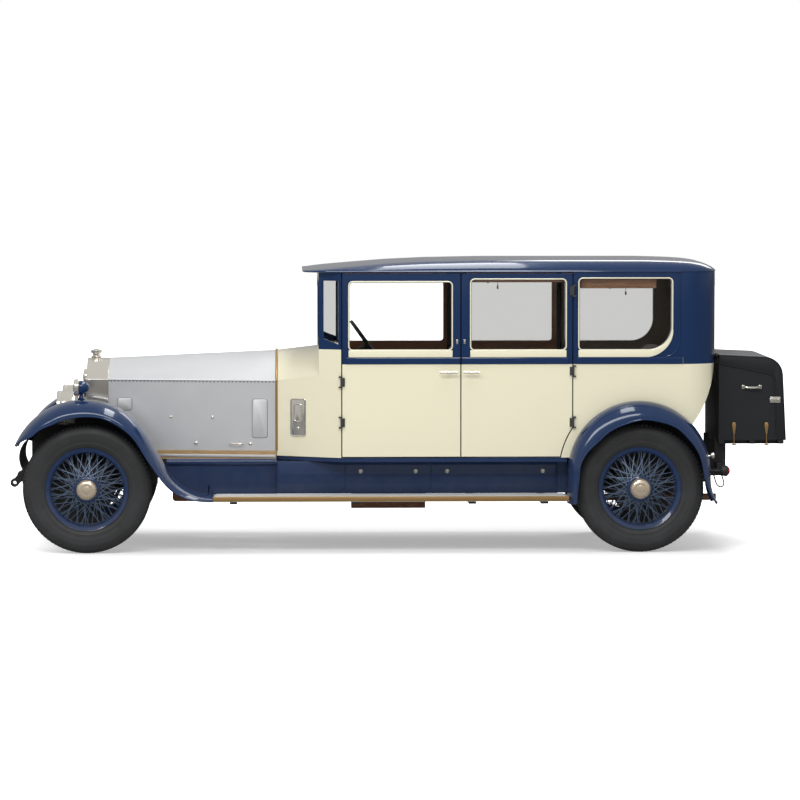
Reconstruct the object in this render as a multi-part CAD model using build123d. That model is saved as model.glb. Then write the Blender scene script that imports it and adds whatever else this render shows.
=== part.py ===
from build123d import *
import math
import os

# A four-door closed car of the 1920s, in millimetres.
# The car faces -X, its left side is -Y, +Z is up and the ground is Z = 0.

# Wheels and axles
WHEELBASE = 3822.0
FRONT_AXLE_X = -2160.0
REAR_AXLE_X = FRONT_AXLE_X + WHEELBASE
TRACK = 1440.0
WHEEL_Y = TRACK / 2
TYRE_RADIUS = 444.5
TYRE_HALF_WIDTH = 89.0
TYRE_FACETS = 60
TYRE_WALL_RADIUS = 345.0
TYRE_WALL_FLAT = 10.0
TYRE_SHOULDER_RADIUS = 420.0
TYRE_SHOULDER_HALF = 78.0
TREAD_HALF_WIDTH = 52.0
AXLE_Z = TYRE_RADIUS
BEAD_RADIUS = 267.0
BEAD_HALF_WIDTH = 62.0
RIM_FLANGE_RADIUS = 287.0
RIM_INNER_RADIUS = 248.0
RIM_HALF_WIDTH = 78.0
SEAT_GAP = 0.4
HUB_CAP_RADIUS = 70.0
HUB_CAP_REACH = 150.0
HUB_FLANGE_RADIUS = 92.0
HUB_RADIUS = 58.0
DRUM_RADIUS = 190.0
DRUM_DEPTH = 56.0
SPOKE_WIDTH = 5.0
SPOKE_PAIRS = 14
STUB_RADIUS = 20.0
PIN_CLEARANCE = 0.06
BACKPLATE_GAP = 6.0
BACKPLATE_THICKNESS = 8.0

# Steering
KINGPIN_Y = 590.0
KINGPIN_RADIUS = 14.0
KINGPIN_BOSS_RADIUS = 26.0
KINGPIN_BOSS_HALF = 46.0
FORK_GAP = 2.0
FORK_LUG = 22.0
STEERING_ARM = 180.0
ROD_PIN_RADIUS = 9.0
ROD_RADIUS = 14.0
STEERING_WHEEL_X = -196.0
STEERING_WHEEL_Y = 360.0
STEERING_WHEEL_Z = 1391.0
STEERING_WHEEL_RADIUS = 215.0
STEERING_RIM_RADIUS = 13.0
COLUMN_SLOPE = 36.0
COLUMN_RADIUS = 22.0
COLUMN_SHAFT_RADIUS = 12.0

# Chassis
RAIL_INNER = 330.0
RAIL_OUTER = 380.0
RAIL_BOTTOM = 500.0
RAIL_TOP = 625.0
RAIL_REAR_X = 2300.0
IRON_START_X = -2420.0
IRON_TIP_X = -2700.0
EYE_X = -2684.0
EYE_Z = 460.0
EYE_RADIUS = 30.0
TOW_BORE_RADIUS = 12.0
CROSS_MEMBER_X = (-2100.0, -250.0, 700.0, 2250.0)
CROSS_MEMBER_SIZE = 60.0
CROSS_MEMBER_Z = 535.0
FRONT_SPRING_HALF = 430.0
REAR_SPRING_HALF = 560.0
REAR_SPRING_Y = 500.0
SPRING_WIDTH = 54.0
AXLE_DROP_TOP = 410.0
REAR_TUBE_RADIUS = 45.0
TORQUE_TUBE_X = -318.0

# Body
FLOOR_BOTTOM = RAIL_TOP + SEAT_GAP
FLOOR_TOP = 655.0
BODY_HALF = 740.0
WALL = 45.0
DOOR_GAP = 8.0
DOOR_BOTTOM = 663.0
DOOR_TOP = 1930.0
FRONT_DOOR_X0 = -397.0
FRONT_DOOR_X1 = 419.0
REAR_DOOR_X0 = FRONT_DOOR_X1 + DOOR_GAP
REAR_DOOR_X1 = 1194.0
BODY_REAR_X = 2205.0
BODY_CORNER = 240.0
EAVES_Z = 1940.0
ROOF_TOP_Z = 2028.0
ROOF_FRONT_X = -665.0
ROOF_LIP = 5.0
ROOF_WALL = 30.0
ROOF_SHOULDER = 145.0
ROOF_OVERHANG = 14.0
GLASS_BOTTOM = 1405.0
FRONT_GLASS_TOP = 1868.0
REAR_GLASS_TOP = 1886.0
QUARTER_GLASS_TOP = 1892.0
GLASS_THICKNESS = 6.0
WINDOW_CORNER = 22.0
QUARTER_CORNER = 160.0
QUARTER_X0 = 1246.0
QUARTER_X1 = 1882.0
FRONT_WINDOW_X0 = -345.0
FRONT_WINDOW_X1 = 356.0
REAR_WINDOW_X0 = 497.0
REAR_WINDOW_X1 = 1145.0
BACK_WINDOW_Z = 1640.0
BACK_WINDOW_WIDTH = 620.0
BACK_WINDOW_HEIGHT = 280.0
BACK_WINDOW_CORNER = 40.0
WAIST_LOW = 1303.0
WAIST_HIGH = 1350.0
WAIST_PROUD = 10.0
DOOR_ARCH_RADIUS = 560.0
HANDLE_Z = 1249.0
FLOOR_REAR_X = 2000.0
FLOOR_EDGE = 5.0
SEAT_SIDE_ROOM = 85.0
SEAT_ARCH_ROOM = 50.0
FRONT_SEAT_X = -60.0
REAR_SEAT_X = 1330.0
SEAT_LENGTH = 560.0
SEAT_HEIGHT = 370.0
SEAT_BACK_HEIGHT = 760.0
SEAT_BACK_LEAN = 60.0
HINGE_OUT = 12.0
HINGE_BARREL_RADIUS = 10.0
HINGE_PIN_RADIUS = 5.0
HINGE_BARREL = 60.0
HINGE_LUG = 22.0
FRONT_HINGE_X = FRONT_DOOR_X0 - DOOR_GAP / 2
REAR_HINGE_X = REAR_DOOR_X1 + DOOR_GAP / 2
FRONT_HINGE_Z = (900.0, 1180.0)
REAR_HINGE_Z = (900.0, 1255.0, 1810.0)
WINDSCREEN_X = -560.0
WINDSCREEN_DEPTH = 35.0
WINDSCREEN_Z = 1665.0
WINDSCREEN_HEIGHT = 410.0

# Bonnet, scuttle and radiator
BONNET_FRONT_X = -2030.0
BONNET_REAR_X = -854.0
BONNET_FRONT_HALF = 310.0
BONNET_REAR_HALF = 490.0
BONNET_BOTTOM = 688.0
BONNET_SHOULDER = 1180.0
BONNET_FRONT_TOP = 1318.0
BONNET_REAR_TOP = 1372.0
BONNET_SHEET = 8.0
SCUTTLE_FRONT_X = -852.0
SCUTTLE_REAR_X = FRONT_DOOR_X0 - DOOR_GAP
SCUTTLE_REAR_SHOULDER = 1250.0
SCUTTLE_REAR_TOP = 1425.0
SCUTTLE_WALL = 30.0
RADIATOR_DEPTH = 155.0
RADIATOR_FRONT_X = BONNET_FRONT_X - RADIATOR_DEPTH
RADIATOR_BORDER = 30.0
ENGINE_FRONT_X = BONNET_FRONT_X + 80
ENGINE_REAR_X = -1050.0
ENGINE_HALF = 200.0
ENGINE_BOTTOM = 480.0
ENGINE_TOP = 1130.0
GEARBOX_HALF = 120.0
GEARBOX_BOTTOM = 430.0
GEARBOX_TOP = 615.0
PIPE_RADIUS = 24.0
PIPE_Y = -300.0
PIPE_Z = 345.0
PIPE_DOWN_X = -1560.0
PIPE_TOP_Z = 760.0
PIPE_REAR_X = 2240.0
SILENCER_X0 = -330.0
SILENCER_X1 = 190.0
SILENCER_RADIUS = 75.0
SLAT_COUNT = 17
SLAT_WIDTH = 7.0
SLAT_DEPTH = 24.0

# Wings and boards
WING_OUTER = 890.0
WING_SHEET = 10.0
FRONT_WING_INNER = 520.0
FRONT_WING_CROWN_Y = FRONT_WING_INNER + 0.46 * (WING_OUTER - FRONT_WING_INNER)
FRONT_WING_X = -2185.0
FRONT_WING_Z = 545.0
FRONT_WING_RADIUS = 515.0
FRONT_WING_TIP_ANGLE = 157.0
FRONT_WING_LEAVE_ANGLE = 30.0
FRONT_WING_RUN = 253.0
FRONT_WING_FOOT_RADIUS = 373.0
REAR_WING_INNER = 600.0
REAR_WING_CROWN_Y = (REAR_WING_INNER + WING_OUTER) / 2
REAR_WING_X = 1660.0
REAR_WING_Z = 553.0
REAR_WING_RADIUS = 495.0
REAR_WING_TAIL_RUN = 50.0
REAR_WING_TAIL_RADIUS = 300.0
REAR_WING_TAIL_TURN = 30.0
WING_DROP = 107.0
WING_INNER_DROP = 25.0
FOOT_DROPS = (76.0, 62.0, 48.0, 34.0)
TIP_LIP = 182.0
BOARD_FRONT_X = -1290.0
BOARD_REAR_X = REAR_WING_X - REAR_WING_RADIUS - SEAT_GAP
BOARD_WIDTH = 305.0
BOARD_OUTER = 885.0
BOARD_INNER = BOARD_OUTER - BOARD_WIDTH
BOARD_BOTTOM = 362.0
BOARD_TOP = 397.0
BOARD_BRACKET_X = (-1150.0, -300.0, 500.0, 1000.0)
VALANCE_Y = 600.0
VALANCE_SHEET = 15.0
FRONT_VALANCE_Y = 517.0

# Trunk
TRUNK_FRONT_X = 2241.0
TRUNK_REAR_X = 2714.0
TRUNK_HALF = 470.0
TRUNK_BOTTOM = 755.0
TRUNK_TOP = 1355.0
TRUNK_WALL = 18.0
TRUNK_LID = 20.0
TRUNK_ROUND = 130.0
TRUNK_FALL = 22.0
TRUNK_LEAN = 30.0
LID_HINGE_X = TRUNK_FRONT_X - 8
LID_HINGE_Z = TRUNK_TOP - 10
LID_PIN_RADIUS = 4.0
LID_GAP = 5.0
RACK_BAR = 30.0


def block(x0, x1, y0, y1, z0, z1):
    """A box between two corners."""
    return Pos((x0 + x1) / 2, (y0 + y1) / 2, (z0 + z1) / 2) * Box(x1 - x0, y1 - y0, z1 - z0)


def outline(*pieces):
    """A flat face from lines and arcs that follow each other."""
    return Face(Wire(list(pieces)))


def polygon(points):
    """A flat face from corner points."""
    return Face(Wire.make_polygon(points, close=True))


def across(face, y0, y1):
    """A face drawn in X and Z, drawn out from Y = y0 to y1."""
    return extrude(Pos(0, y0, 0) * (Plane.XZ * face), amount=y1 - y0, dir=(0, 1, 0))


def along(face, x0, x1):
    """A face drawn in Y and Z, drawn out from X = x0 to x1."""
    return extrude(Pos(x0, 0, 0) * (Plane.YZ * face), amount=x1 - x0, dir=(1, 0, 0))


def upward(face, z0, z1):
    """A face drawn in X and Y, drawn out from Z = z0 to z1."""
    return extrude(Pos(0, 0, z0) * face, amount=z1 - z0, dir=(0, 0, 1))


def rod(start, end, radius):
    """A round bar between two points."""
    direction = Vector(*end) - Vector(*start)
    return extrude(Plane(start, z_dir=direction) * Circle(radius), amount=direction.length)


def flip(shape):
    """The same piece on the other side of the car."""
    return mirror(shape, about=Plane.XZ)


def rounded_window(x0, x1, z0, z1, corner, rear_corner):
    """A window outline in X and Z, with its own radius at the rear lower corner."""
    r, b = corner, rear_corner
    return outline(Line((x0 + r, z0), (x1 - b, z0)),
                   CenterArc((x1 - b, z0 + b), b, 270, 90),
                   Line((x1, z0 + b), (x1, z1 - r)),
                   CenterArc((x1 - r, z1 - r), r, 0, 90),
                   Line((x1 - r, z1), (x0 + r, z1)),
                   CenterArc((x0 + r, z1 - r), r, 90, 90),
                   Line((x0, z1 - r), (x0, z0 + r)),
                   CenterArc((x0 + r, z0 + r), r, 180, 90))


def side_window(x0, x1, top, inset, rear_corner):
    """A side window's outline, drawn in by an inset."""
    return rounded_window(x0 + inset, x1 - inset, GLASS_BOTTOM + inset, top - inset,
                          WINDOW_CORNER - inset, rear_corner - inset)


def faceted(half_rows):
    """A solid with flat facets round Y, alike on both sides. Columns: radius to the corners, Y."""
    rows = [(radius, -y) for radius, y in half_rows] + list(reversed(half_rows))
    return loft([Pos(0, y, 0) * (Plane.XZ * RegularPolygon(radius, TYRE_FACETS)) for radius, y in rows],
                ruled=True)


def make_tyre():
    """A tyre about Y, from its bead to its tread."""
    outside = faceted([(TYRE_WALL_RADIUS, TYRE_HALF_WIDTH), (TYRE_SHOULDER_RADIUS, TYRE_SHOULDER_HALF),
                       (TYRE_RADIUS, TREAD_HALF_WIDTH)])
    bead = BEAD_RADIUS / math.cos(math.pi / TYRE_FACETS)
    flare = (TYRE_WALL_RADIUS - TYRE_WALL_FLAT - bead) / (TYRE_HALF_WIDTH - BEAD_HALF_WIDTH)
    reach = TYRE_HALF_WIDTH + TYRE_WALL_FLAT
    return outside - faceted([(bead + flare * (reach - BEAD_HALF_WIDTH), reach), (bead, BEAD_HALF_WIDTH)])


def make_spoke(angle, lean, hub_radius, hub_y, rim_y):
    """One spoke from a hub flange to the rim, leaning round the hub."""
    rim_radius = (RIM_INNER_RADIUS + BEAD_RADIUS) / 2
    a = math.radians(angle)
    turn = math.radians(angle + lean)
    start = Vector(hub_radius * math.cos(a), hub_y, hub_radius * math.sin(a))
    end = Vector(rim_radius * math.cos(turn), rim_y, rim_radius * math.sin(turn))
    return extrude(Plane(start, z_dir=end - start) * Rectangle(SPOKE_WIDTH, SPOKE_WIDTH),
                   amount=(end - start).length)


def make_wire_wheel():
    """A wire wheel about Y with its outer face toward -Y: rim, laced spokes, hub, cap and drum."""
    seat = BEAD_RADIUS - SEAT_GAP
    rim_half = [(RIM_INNER_RADIUS, RIM_HALF_WIDTH), (RIM_FLANGE_RADIUS, RIM_HALF_WIDTH),
                (RIM_FLANGE_RADIUS, BEAD_HALF_WIDTH + 8.5), (seat, BEAD_HALF_WIDTH + 1.5)]
    rim = revolve(polygon(rim_half + [(radius, -y) for radius, y in reversed(rim_half)]), axis=Axis.Y)
    bore = STUB_RADIUS + PIN_CLEARANCE
    drum_outer_y = RIM_HALF_WIDTH - DRUM_DEPTH
    hub_section = [(0, -HUB_CAP_REACH), (0.6 * HUB_CAP_RADIUS, 4 - HUB_CAP_REACH),
                   (HUB_CAP_RADIUS, 24 - HUB_CAP_REACH), (HUB_CAP_RADIUS, -104), (62, -100), (62, -78),
                   (HUB_FLANGE_RADIUS, -70), (HUB_FLANGE_RADIUS, -62), (HUB_RADIUS, -54),
                   (HUB_RADIUS, drum_outer_y), (DRUM_RADIUS, drum_outer_y), (DRUM_RADIUS, RIM_HALF_WIDTH),
                   (bore, RIM_HALF_WIDTH), (bore, -60), (0, -60)]
    hub = revolve(polygon(hub_section), axis=Axis.Y)
    # Columns: radius at the hub, Y at the hub, Y at the rim, first angle
    spoke_rows = [(84, -66, -22, 0), (54, -20, 26, 0.5)]
    spokes = []
    for hub_radius, hub_y, rim_y, first in spoke_rows:
        for number in range(SPOKE_PAIRS):
            angle = (number + first) * 360 / SPOKE_PAIRS
            spokes.append(make_spoke(angle, 34, hub_radius, hub_y, rim_y))
            spokes.append(make_spoke(angle + 90 / SPOKE_PAIRS, -34, hub_radius, hub_y, rim_y))
    return rim.fuse(hub, *spokes)


def make_knuckle():
    """The left knuckle: stub axle, backplate, fork round the axle end, kingpin and steering arm."""
    plate_y = -(WHEEL_Y - RIM_HALF_WIDTH - BACKPLATE_GAP)
    web_y = -(KINGPIN_Y + KINGPIN_BOSS_RADIUS + 3)
    lug_low = KINGPIN_BOSS_HALF + FORK_GAP
    lug_high = lug_low + FORK_LUG
    place = Pos(FRONT_AXLE_X, 0, AXLE_Z)
    knuckle = rod((0, -(WHEEL_Y + 58), 0), (0, web_y, 0), STUB_RADIUS)
    knuckle += rod((0, plate_y, 0), (0, plate_y + BACKPLATE_THICKNESS, 0), DRUM_RADIUS - 5)
    knuckle += block(-40, 40, plate_y, web_y, -lug_high, lug_high)
    for side in (-1, 1):
        low, high = sorted((side * lug_low, side * lug_high))
        knuckle += block(-25, 25, web_y - 1, -KINGPIN_Y, low, high)
        knuckle += Pos(0, -KINGPIN_Y, (low + high) / 2) * Cylinder(KINGPIN_BOSS_RADIUS, FORK_LUG)
    knuckle += Pos(0, -KINGPIN_Y, 0) * Cylinder(KINGPIN_RADIUS, 2 * lug_high)
    knuckle += block(0, STEERING_ARM, -KINGPIN_Y - 12, -KINGPIN_Y + 12, -lug_high, -lug_low - 2)
    knuckle += Pos(STEERING_ARM, -KINGPIN_Y, -(lug_high + lug_low + 2) / 2) * Cylinder(20, FORK_LUG - 2)
    knuckle += rod((STEERING_ARM, -KINGPIN_Y, -lug_high - 34), (STEERING_ARM, -KINGPIN_Y, -lug_high),
                   ROD_PIN_RADIUS)
    return place * knuckle


def make_track_rod():
    """The rod behind the axle that ties the two steering arms."""
    lug_high = KINGPIN_BOSS_HALF + FORK_GAP + FORK_LUG
    z = AXLE_Z - lug_high - 18
    x = FRONT_AXLE_X + STEERING_ARM
    track_rod = rod((x, -KINGPIN_Y, z), (x, KINGPIN_Y, z), ROD_RADIUS)
    for y in (-KINGPIN_Y, KINGPIN_Y):
        track_rod += Pos(x, y, z) * Cylinder(20, 32)
    for y in (-KINGPIN_Y, KINGPIN_Y):
        track_rod -= Pos(x, y, z) * Cylinder(ROD_PIN_RADIUS + PIN_CLEARANCE, 40)
    return track_rod


def make_front_axle():
    """The dropped beam between the kingpins."""
    end = KINGPIN_Y - 20
    top = AXLE_Z + 40
    low = AXLE_Z - 40
    half = [(end, top), (480, top), (420, AXLE_DROP_TOP)]
    under = [(end, low), (500, low), (450, AXLE_DROP_TOP - 80)]
    points = half + [(-y, z) for y, z in reversed(half)]
    points += [(-y, z) for y, z in under] + list(reversed(under))
    beam = along(polygon(points), FRONT_AXLE_X - 28, FRONT_AXLE_X + 28)
    for y in (-KINGPIN_Y, KINGPIN_Y):
        beam += Pos(FRONT_AXLE_X, y, AXLE_Z) * Cylinder(KINGPIN_BOSS_RADIUS, 2 * KINGPIN_BOSS_HALF)
    for y in (-KINGPIN_Y, KINGPIN_Y):
        beam -= Pos(FRONT_AXLE_X, y, AXLE_Z) * Cylinder(KINGPIN_RADIUS + PIN_CLEARANCE, 200)
    return beam


def make_rear_axle():
    """The rear axle tube with its differential, torque tube, backplates and stub shafts."""
    plate_y = WHEEL_Y - RIM_HALF_WIDTH - BACKPLATE_GAP
    axle = rod((0, -plate_y, 0), (0, plate_y, 0), REAR_TUBE_RADIUS)
    axle += rod((0, -WHEEL_Y - 58, 0), (0, WHEEL_Y + 58, 0), STUB_RADIUS)
    axle += Sphere(140)
    axle += rod((TORQUE_TUBE_X - REAR_AXLE_X, 0, 0), (0, 0, 0), 40)
    for side in (-1, 1):
        axle += rod((0, side * plate_y, 0), (0, side * (plate_y - BACKPLATE_THICKNESS), 0), DRUM_RADIUS - 5)
    return Pos(REAR_AXLE_X, 0, AXLE_Z) * axle


def make_spring(half, middle_bottom, rise):
    """A leaf pack about X = 0, thick in the middle and raised at its ends."""
    thick = 38
    tip = 16
    end_bottom = middle_bottom + rise
    end_top = end_bottom + tip
    return outline(ThreePointArc((-half, end_bottom), (0, middle_bottom), (half, end_bottom)),
                   Line((half, end_bottom), (half, end_top)),
                   ThreePointArc((half, end_top), (0, middle_bottom + thick), (-half, end_top)),
                   Line((-half, end_top), (-half, end_bottom)))


def make_leaf_springs():
    """Two front and two rear leaf packs."""
    front = make_spring(FRONT_SPRING_HALF, AXLE_DROP_TOP + SEAT_GAP, 46)
    rear = make_spring(REAR_SPRING_HALF, AXLE_Z + REAR_TUBE_RADIUS + SEAT_GAP, 54)
    front_y = (RAIL_INNER + RAIL_OUTER) / 2
    springs = []
    for face, x, y in ((front, FRONT_AXLE_X, front_y), (rear, REAR_AXLE_X, REAR_SPRING_Y)):
        for side in (-1, 1):
            low = side * y - SPRING_WIDTH / 2
            springs.append(Pos(x, 0, 0) * across(face, low, low + SPRING_WIDTH))
    return springs


def make_chassis():
    """Side rails with curved dumb irons, cross members and spring hangers."""
    rail_face = outline(
        Line((RAIL_REAR_X, RAIL_BOTTOM), (RAIL_REAR_X, RAIL_TOP)),
        Line((RAIL_REAR_X, RAIL_TOP), (IRON_START_X, RAIL_TOP)),
        ThreePointArc((IRON_START_X, RAIL_TOP), (-2590, 575), (IRON_TIP_X, EYE_Z + 12)),
        Line((IRON_TIP_X, EYE_Z + 12), (EYE_X + 20, EYE_Z - 20)),
        ThreePointArc((EYE_X + 20, EYE_Z - 20), (-2612, 482), (-2540, RAIL_BOTTOM)),
        Line((-2540, RAIL_BOTTOM), (RAIL_REAR_X, RAIL_BOTTOM)))
    rail = across(rail_face, RAIL_INNER, RAIL_OUTER)
    rail += rod((EYE_X, RAIL_INNER, EYE_Z), (EYE_X, RAIL_OUTER, EYE_Z), EYE_RADIUS)
    rail -= rod((EYE_X, RAIL_INNER - 5, EYE_Z), (EYE_X, RAIL_OUTER + 5, EYE_Z), TOW_BORE_RADIUS)
    front_end = FRONT_AXLE_X - FRONT_SPRING_HALF - SEAT_GAP
    rear_end = FRONT_AXLE_X + FRONT_SPRING_HALF + SEAT_GAP
    rail += block(front_end - 40, front_end, RAIL_INNER, RAIL_OUTER, 450, RAIL_BOTTOM + 5)
    rail += block(rear_end, rear_end + 45, RAIL_INNER, RAIL_OUTER, 450, RAIL_BOTTOM + 5)
    hanger_outer = REAR_SPRING_Y + SPRING_WIDTH / 2
    for side in (-1, 1):
        near = REAR_AXLE_X + side * (REAR_SPRING_HALF + SEAT_GAP)
        x0, x1 = sorted((near, near + side * 50))
        rail += block(x0, x1, RAIL_OUTER - 5, hanger_outer, 535, 600)
    frame = rail + flip(rail)
    half = CROSS_MEMBER_SIZE / 2
    for x in CROSS_MEMBER_X:
        frame += block(x - half, x + half, -RAIL_INNER - 5, RAIL_INNER + 5,
                       CROSS_MEMBER_Z - half, CROSS_MEMBER_Z + half)
    return frame


def make_board_brackets():
    """Angle brackets from the rails out under the running boards."""
    root = RAIL_OUTER + SEAT_GAP
    low = BOARD_BOTTOM - 20
    brackets = []
    for x in BOARD_BRACKET_X:
        bracket = block(x - 25, x + 25, root, root + 14, low, RAIL_BOTTOM + 60)
        bracket += block(x - 25, x + 25, root, BOARD_OUTER - 60, low, BOARD_BOTTOM - SEAT_GAP)
        brackets += [bracket, flip(bracket)]
    return brackets


def make_engine():
    """Engine and gearbox as one plain mass."""
    engine = block(ENGINE_FRONT_X, ENGINE_REAR_X, -ENGINE_HALF, ENGINE_HALF, ENGINE_BOTTOM, ENGINE_TOP)
    engine += block(ENGINE_REAR_X - 10, TORQUE_TUBE_X - SEAT_GAP, -GEARBOX_HALF, GEARBOX_HALF,
                    GEARBOX_BOTTOM, GEARBOX_TOP)
    foot = block(ENGINE_FRONT_X + 50, ENGINE_FRONT_X + 90, ENGINE_HALF - 5, RAIL_INNER - SEAT_GAP,
                 RAIL_BOTTOM + 40, RAIL_TOP - 5)
    return engine + foot + flip(foot)


def make_exhaust():
    """Exhaust pipe with its silencer, from the engine's left side to the tail."""
    x, y, z, r = PIPE_DOWN_X, PIPE_Y, PIPE_Z, PIPE_RADIUS
    pipe = rod((x, -ENGINE_HALF - SEAT_GAP, PIPE_TOP_Z), (x, y, PIPE_TOP_Z), r)
    pipe += rod((x, y, z), (x, y, PIPE_TOP_Z), r)
    pipe += Pos(x, y, PIPE_TOP_Z) * Sphere(r)
    pipe += Pos(x, y, z) * Sphere(r)
    pipe += rod((x, y, z), (PIPE_REAR_X, y, z), r)
    pipe += rod((SILENCER_X0, y, z), (SILENCER_X1, y, z), SILENCER_RADIUS)
    return pipe


def make_fuel_tank():
    """The tank between the rear rails."""
    face = Pos(2050, 530) * RectangleRounded(300, 160, 60)
    return across(face, -RAIL_INNER + SEAT_GAP, RAIL_INNER - SEAT_GAP)


def make_front_apron():
    """The curved sheet between the dumb irons."""
    t = 8
    face = outline(ThreePointArc((-2525, 800), (-2655, 655), (-2632, 545)),
                   Line((-2632, 545), (-2632 + t, 547)),
                   ThreePointArc((-2632 + t, 547), (-2655 + t, 653), (-2525 + t, 795)),
                   Line((-2525 + t, 795), (-2525, 800)))
    return across(face, -RAIL_INNER + SEAT_GAP, RAIL_INNER - SEAT_GAP)


def bonnet_section(half, bottom, shoulder, top, inset):
    """The bonnet's section in Y and Z, drawn in by an inset."""
    h = half - inset
    t = top - inset
    return outline(Line((-h, bottom), (-h, shoulder)),
                   ThreePointArc((-h, shoulder), (0, t), (h, shoulder)),
                   Line((h, shoulder), (h, bottom)),
                   Line((h, bottom), (-h, bottom)))


def at_x(face, x):
    """A face drawn in Y and Z, placed at X = x."""
    return Pos(x, 0, 0) * (Plane.YZ * face)


def bonnet_form(inset, bottom):
    """The closed bonnet form between the radiator and the scuttle."""
    front = bonnet_section(BONNET_FRONT_HALF, bottom, BONNET_SHOULDER, BONNET_FRONT_TOP, inset)
    rear = bonnet_section(BONNET_REAR_HALF, bottom, BONNET_SHOULDER, BONNET_REAR_TOP, inset)
    return loft([at_x(front, BONNET_FRONT_X), at_x(rear, BONNET_REAR_X)])


def make_bonnet():
    """Bonnet shell split at its shoulders into a top and two sides."""
    shell = bonnet_form(0, BONNET_BOTTOM) - bonnet_form(BONNET_SHEET, BONNET_BOTTOM)
    far = 2000
    seam = 1.0
    top = shell & block(-far * 2, 0, -far, far, BONNET_SHOULDER + seam, far)
    left = shell & block(-far * 2, 0, -far, 0, 0, BONNET_SHOULDER)
    right = shell & block(-far * 2, 0, 0, far, 0, BONNET_SHOULDER)
    return top, left, right


def make_bonnet_ledges():
    """The ledge below each bonnet side, on the chassis rail."""
    x0, x1 = BONNET_FRONT_X, BONNET_REAR_X
    y0, y1 = BONNET_FRONT_HALF, BONNET_REAR_HALF
    plan = polygon([(x0, y0 - 30), (x1, y1 - 30), (x1, y1 + 12), (x0, y0 + 12)])
    ledge = upward(plan, RAIL_TOP + SEAT_GAP, BONNET_BOTTOM - SEAT_GAP)
    return [ledge, flip(ledge)]


def radiator_face(inset):
    """The radiator's outline, which the bonnet's front continues."""
    return bonnet_section(BONNET_FRONT_HALF, CROSS_MEMBER_Z + CROSS_MEMBER_SIZE / 2 + SEAT_GAP + inset,
                          BONNET_SHOULDER, BONNET_FRONT_TOP, inset)


def make_radiator():
    """Radiator shell, slatted grille and core."""
    shell = along(radiator_face(0), RADIATOR_FRONT_X, BONNET_FRONT_X - SEAT_GAP)
    shell -= along(radiator_face(RADIATOR_BORDER), RADIATOR_FRONT_X - 5, BONNET_FRONT_X + 5)
    inside = radiator_face(RADIATOR_BORDER + SEAT_GAP)
    slat_x = RADIATOR_FRONT_X + 20
    half = BONNET_FRONT_HALF - RADIATOR_BORDER
    grille = along(inside, slat_x, slat_x + SLAT_DEPTH) - along(
        radiator_face(RADIATOR_BORDER + 14), slat_x - 5, slat_x + SLAT_DEPTH + 5)
    blades = []
    for number in range(1, SLAT_COUNT + 1):
        y = -half + number * 2 * half / (SLAT_COUNT + 1)
        blades.append(block(slat_x, slat_x + SLAT_DEPTH, y - SLAT_WIDTH / 2, y + SLAT_WIDTH / 2, 0, 2000))
    form = along(inside, slat_x, slat_x + SLAT_DEPTH)
    grille = grille.fuse(*[blade & form for blade in blades])
    core = along(inside, slat_x + SLAT_DEPTH + SEAT_GAP, BONNET_FRONT_X - 40)
    return shell, grille, core


def make_radiator_cap():
    """A plain round filler cap on the radiator shell."""
    x = (RADIATOR_FRONT_X + BONNET_FRONT_X) / 2 - 20
    z = BONNET_FRONT_TOP + SEAT_GAP
    section = polygon([(0, 0), (34, 0), (34, 10), (24, 14), (24, 30), (38, 34), (38, 52), (14, 60), (0, 60)])
    return Pos(x, 0, z) * revolve(Plane.XZ * section, axis=Axis.Z)


def scuttle_form(inset, front_x):
    """The closed scuttle form, flaring from the bonnet to the doors."""
    bottom = FLOOR_TOP + SEAT_GAP
    front = bonnet_section(BONNET_REAR_HALF, bottom, BONNET_SHOULDER, BONNET_REAR_TOP, inset)
    rear = bonnet_section(BODY_HALF, bottom, SCUTTLE_REAR_SHOULDER, SCUTTLE_REAR_TOP, inset)
    return loft([at_x(front, front_x), at_x(rear, SCUTTLE_REAR_X)])


def hinge_posts(x, z_list, toward):
    """Fixed hinge pins on the right side, held by a lug above and below each barrel."""
    axis_y = BODY_HALF + HINGE_OUT
    posts = []
    for z in z_list:
        reach = HINGE_BARREL / 2 + 1
        post = Pos(x, axis_y, z) * Cylinder(HINGE_PIN_RADIUS, 2 * (reach + 10))
        for side in (-1, 1):
            low, high = sorted((z + side * reach, z + side * (reach + 10)))
            x0, x1 = sorted((x, x + toward * HINGE_LUG))
            post += block(x0, x1, BODY_HALF - 20, axis_y + 5, low, high)
        posts.append(post)
    return posts


def hinge_barrels(x, z_list, toward):
    """Hinge barrels on the right side, on the door's edge."""
    axis_y = BODY_HALF + HINGE_OUT
    barrels = []
    for z in z_list:
        half = HINGE_BARREL / 2
        x0, x1 = sorted((x, x + toward * HINGE_LUG))
        barrel = Pos(x, axis_y, z) * Cylinder(HINGE_BARREL_RADIUS, HINGE_BARREL)
        barrel += block(x0, x1, BODY_HALF + 2, axis_y, z - half, z + half)
        x2, x3 = sorted((x + toward * DOOR_GAP, x + toward * HINGE_LUG))
        barrel += block(x2, x3, BODY_HALF - 10, axis_y, z - half, z + half)
        barrel -= Pos(x, axis_y, z) * Cylinder(HINGE_PIN_RADIUS + PIN_CLEARANCE, HINGE_BARREL + 4)
        barrels.append(barrel)
    return barrels


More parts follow.
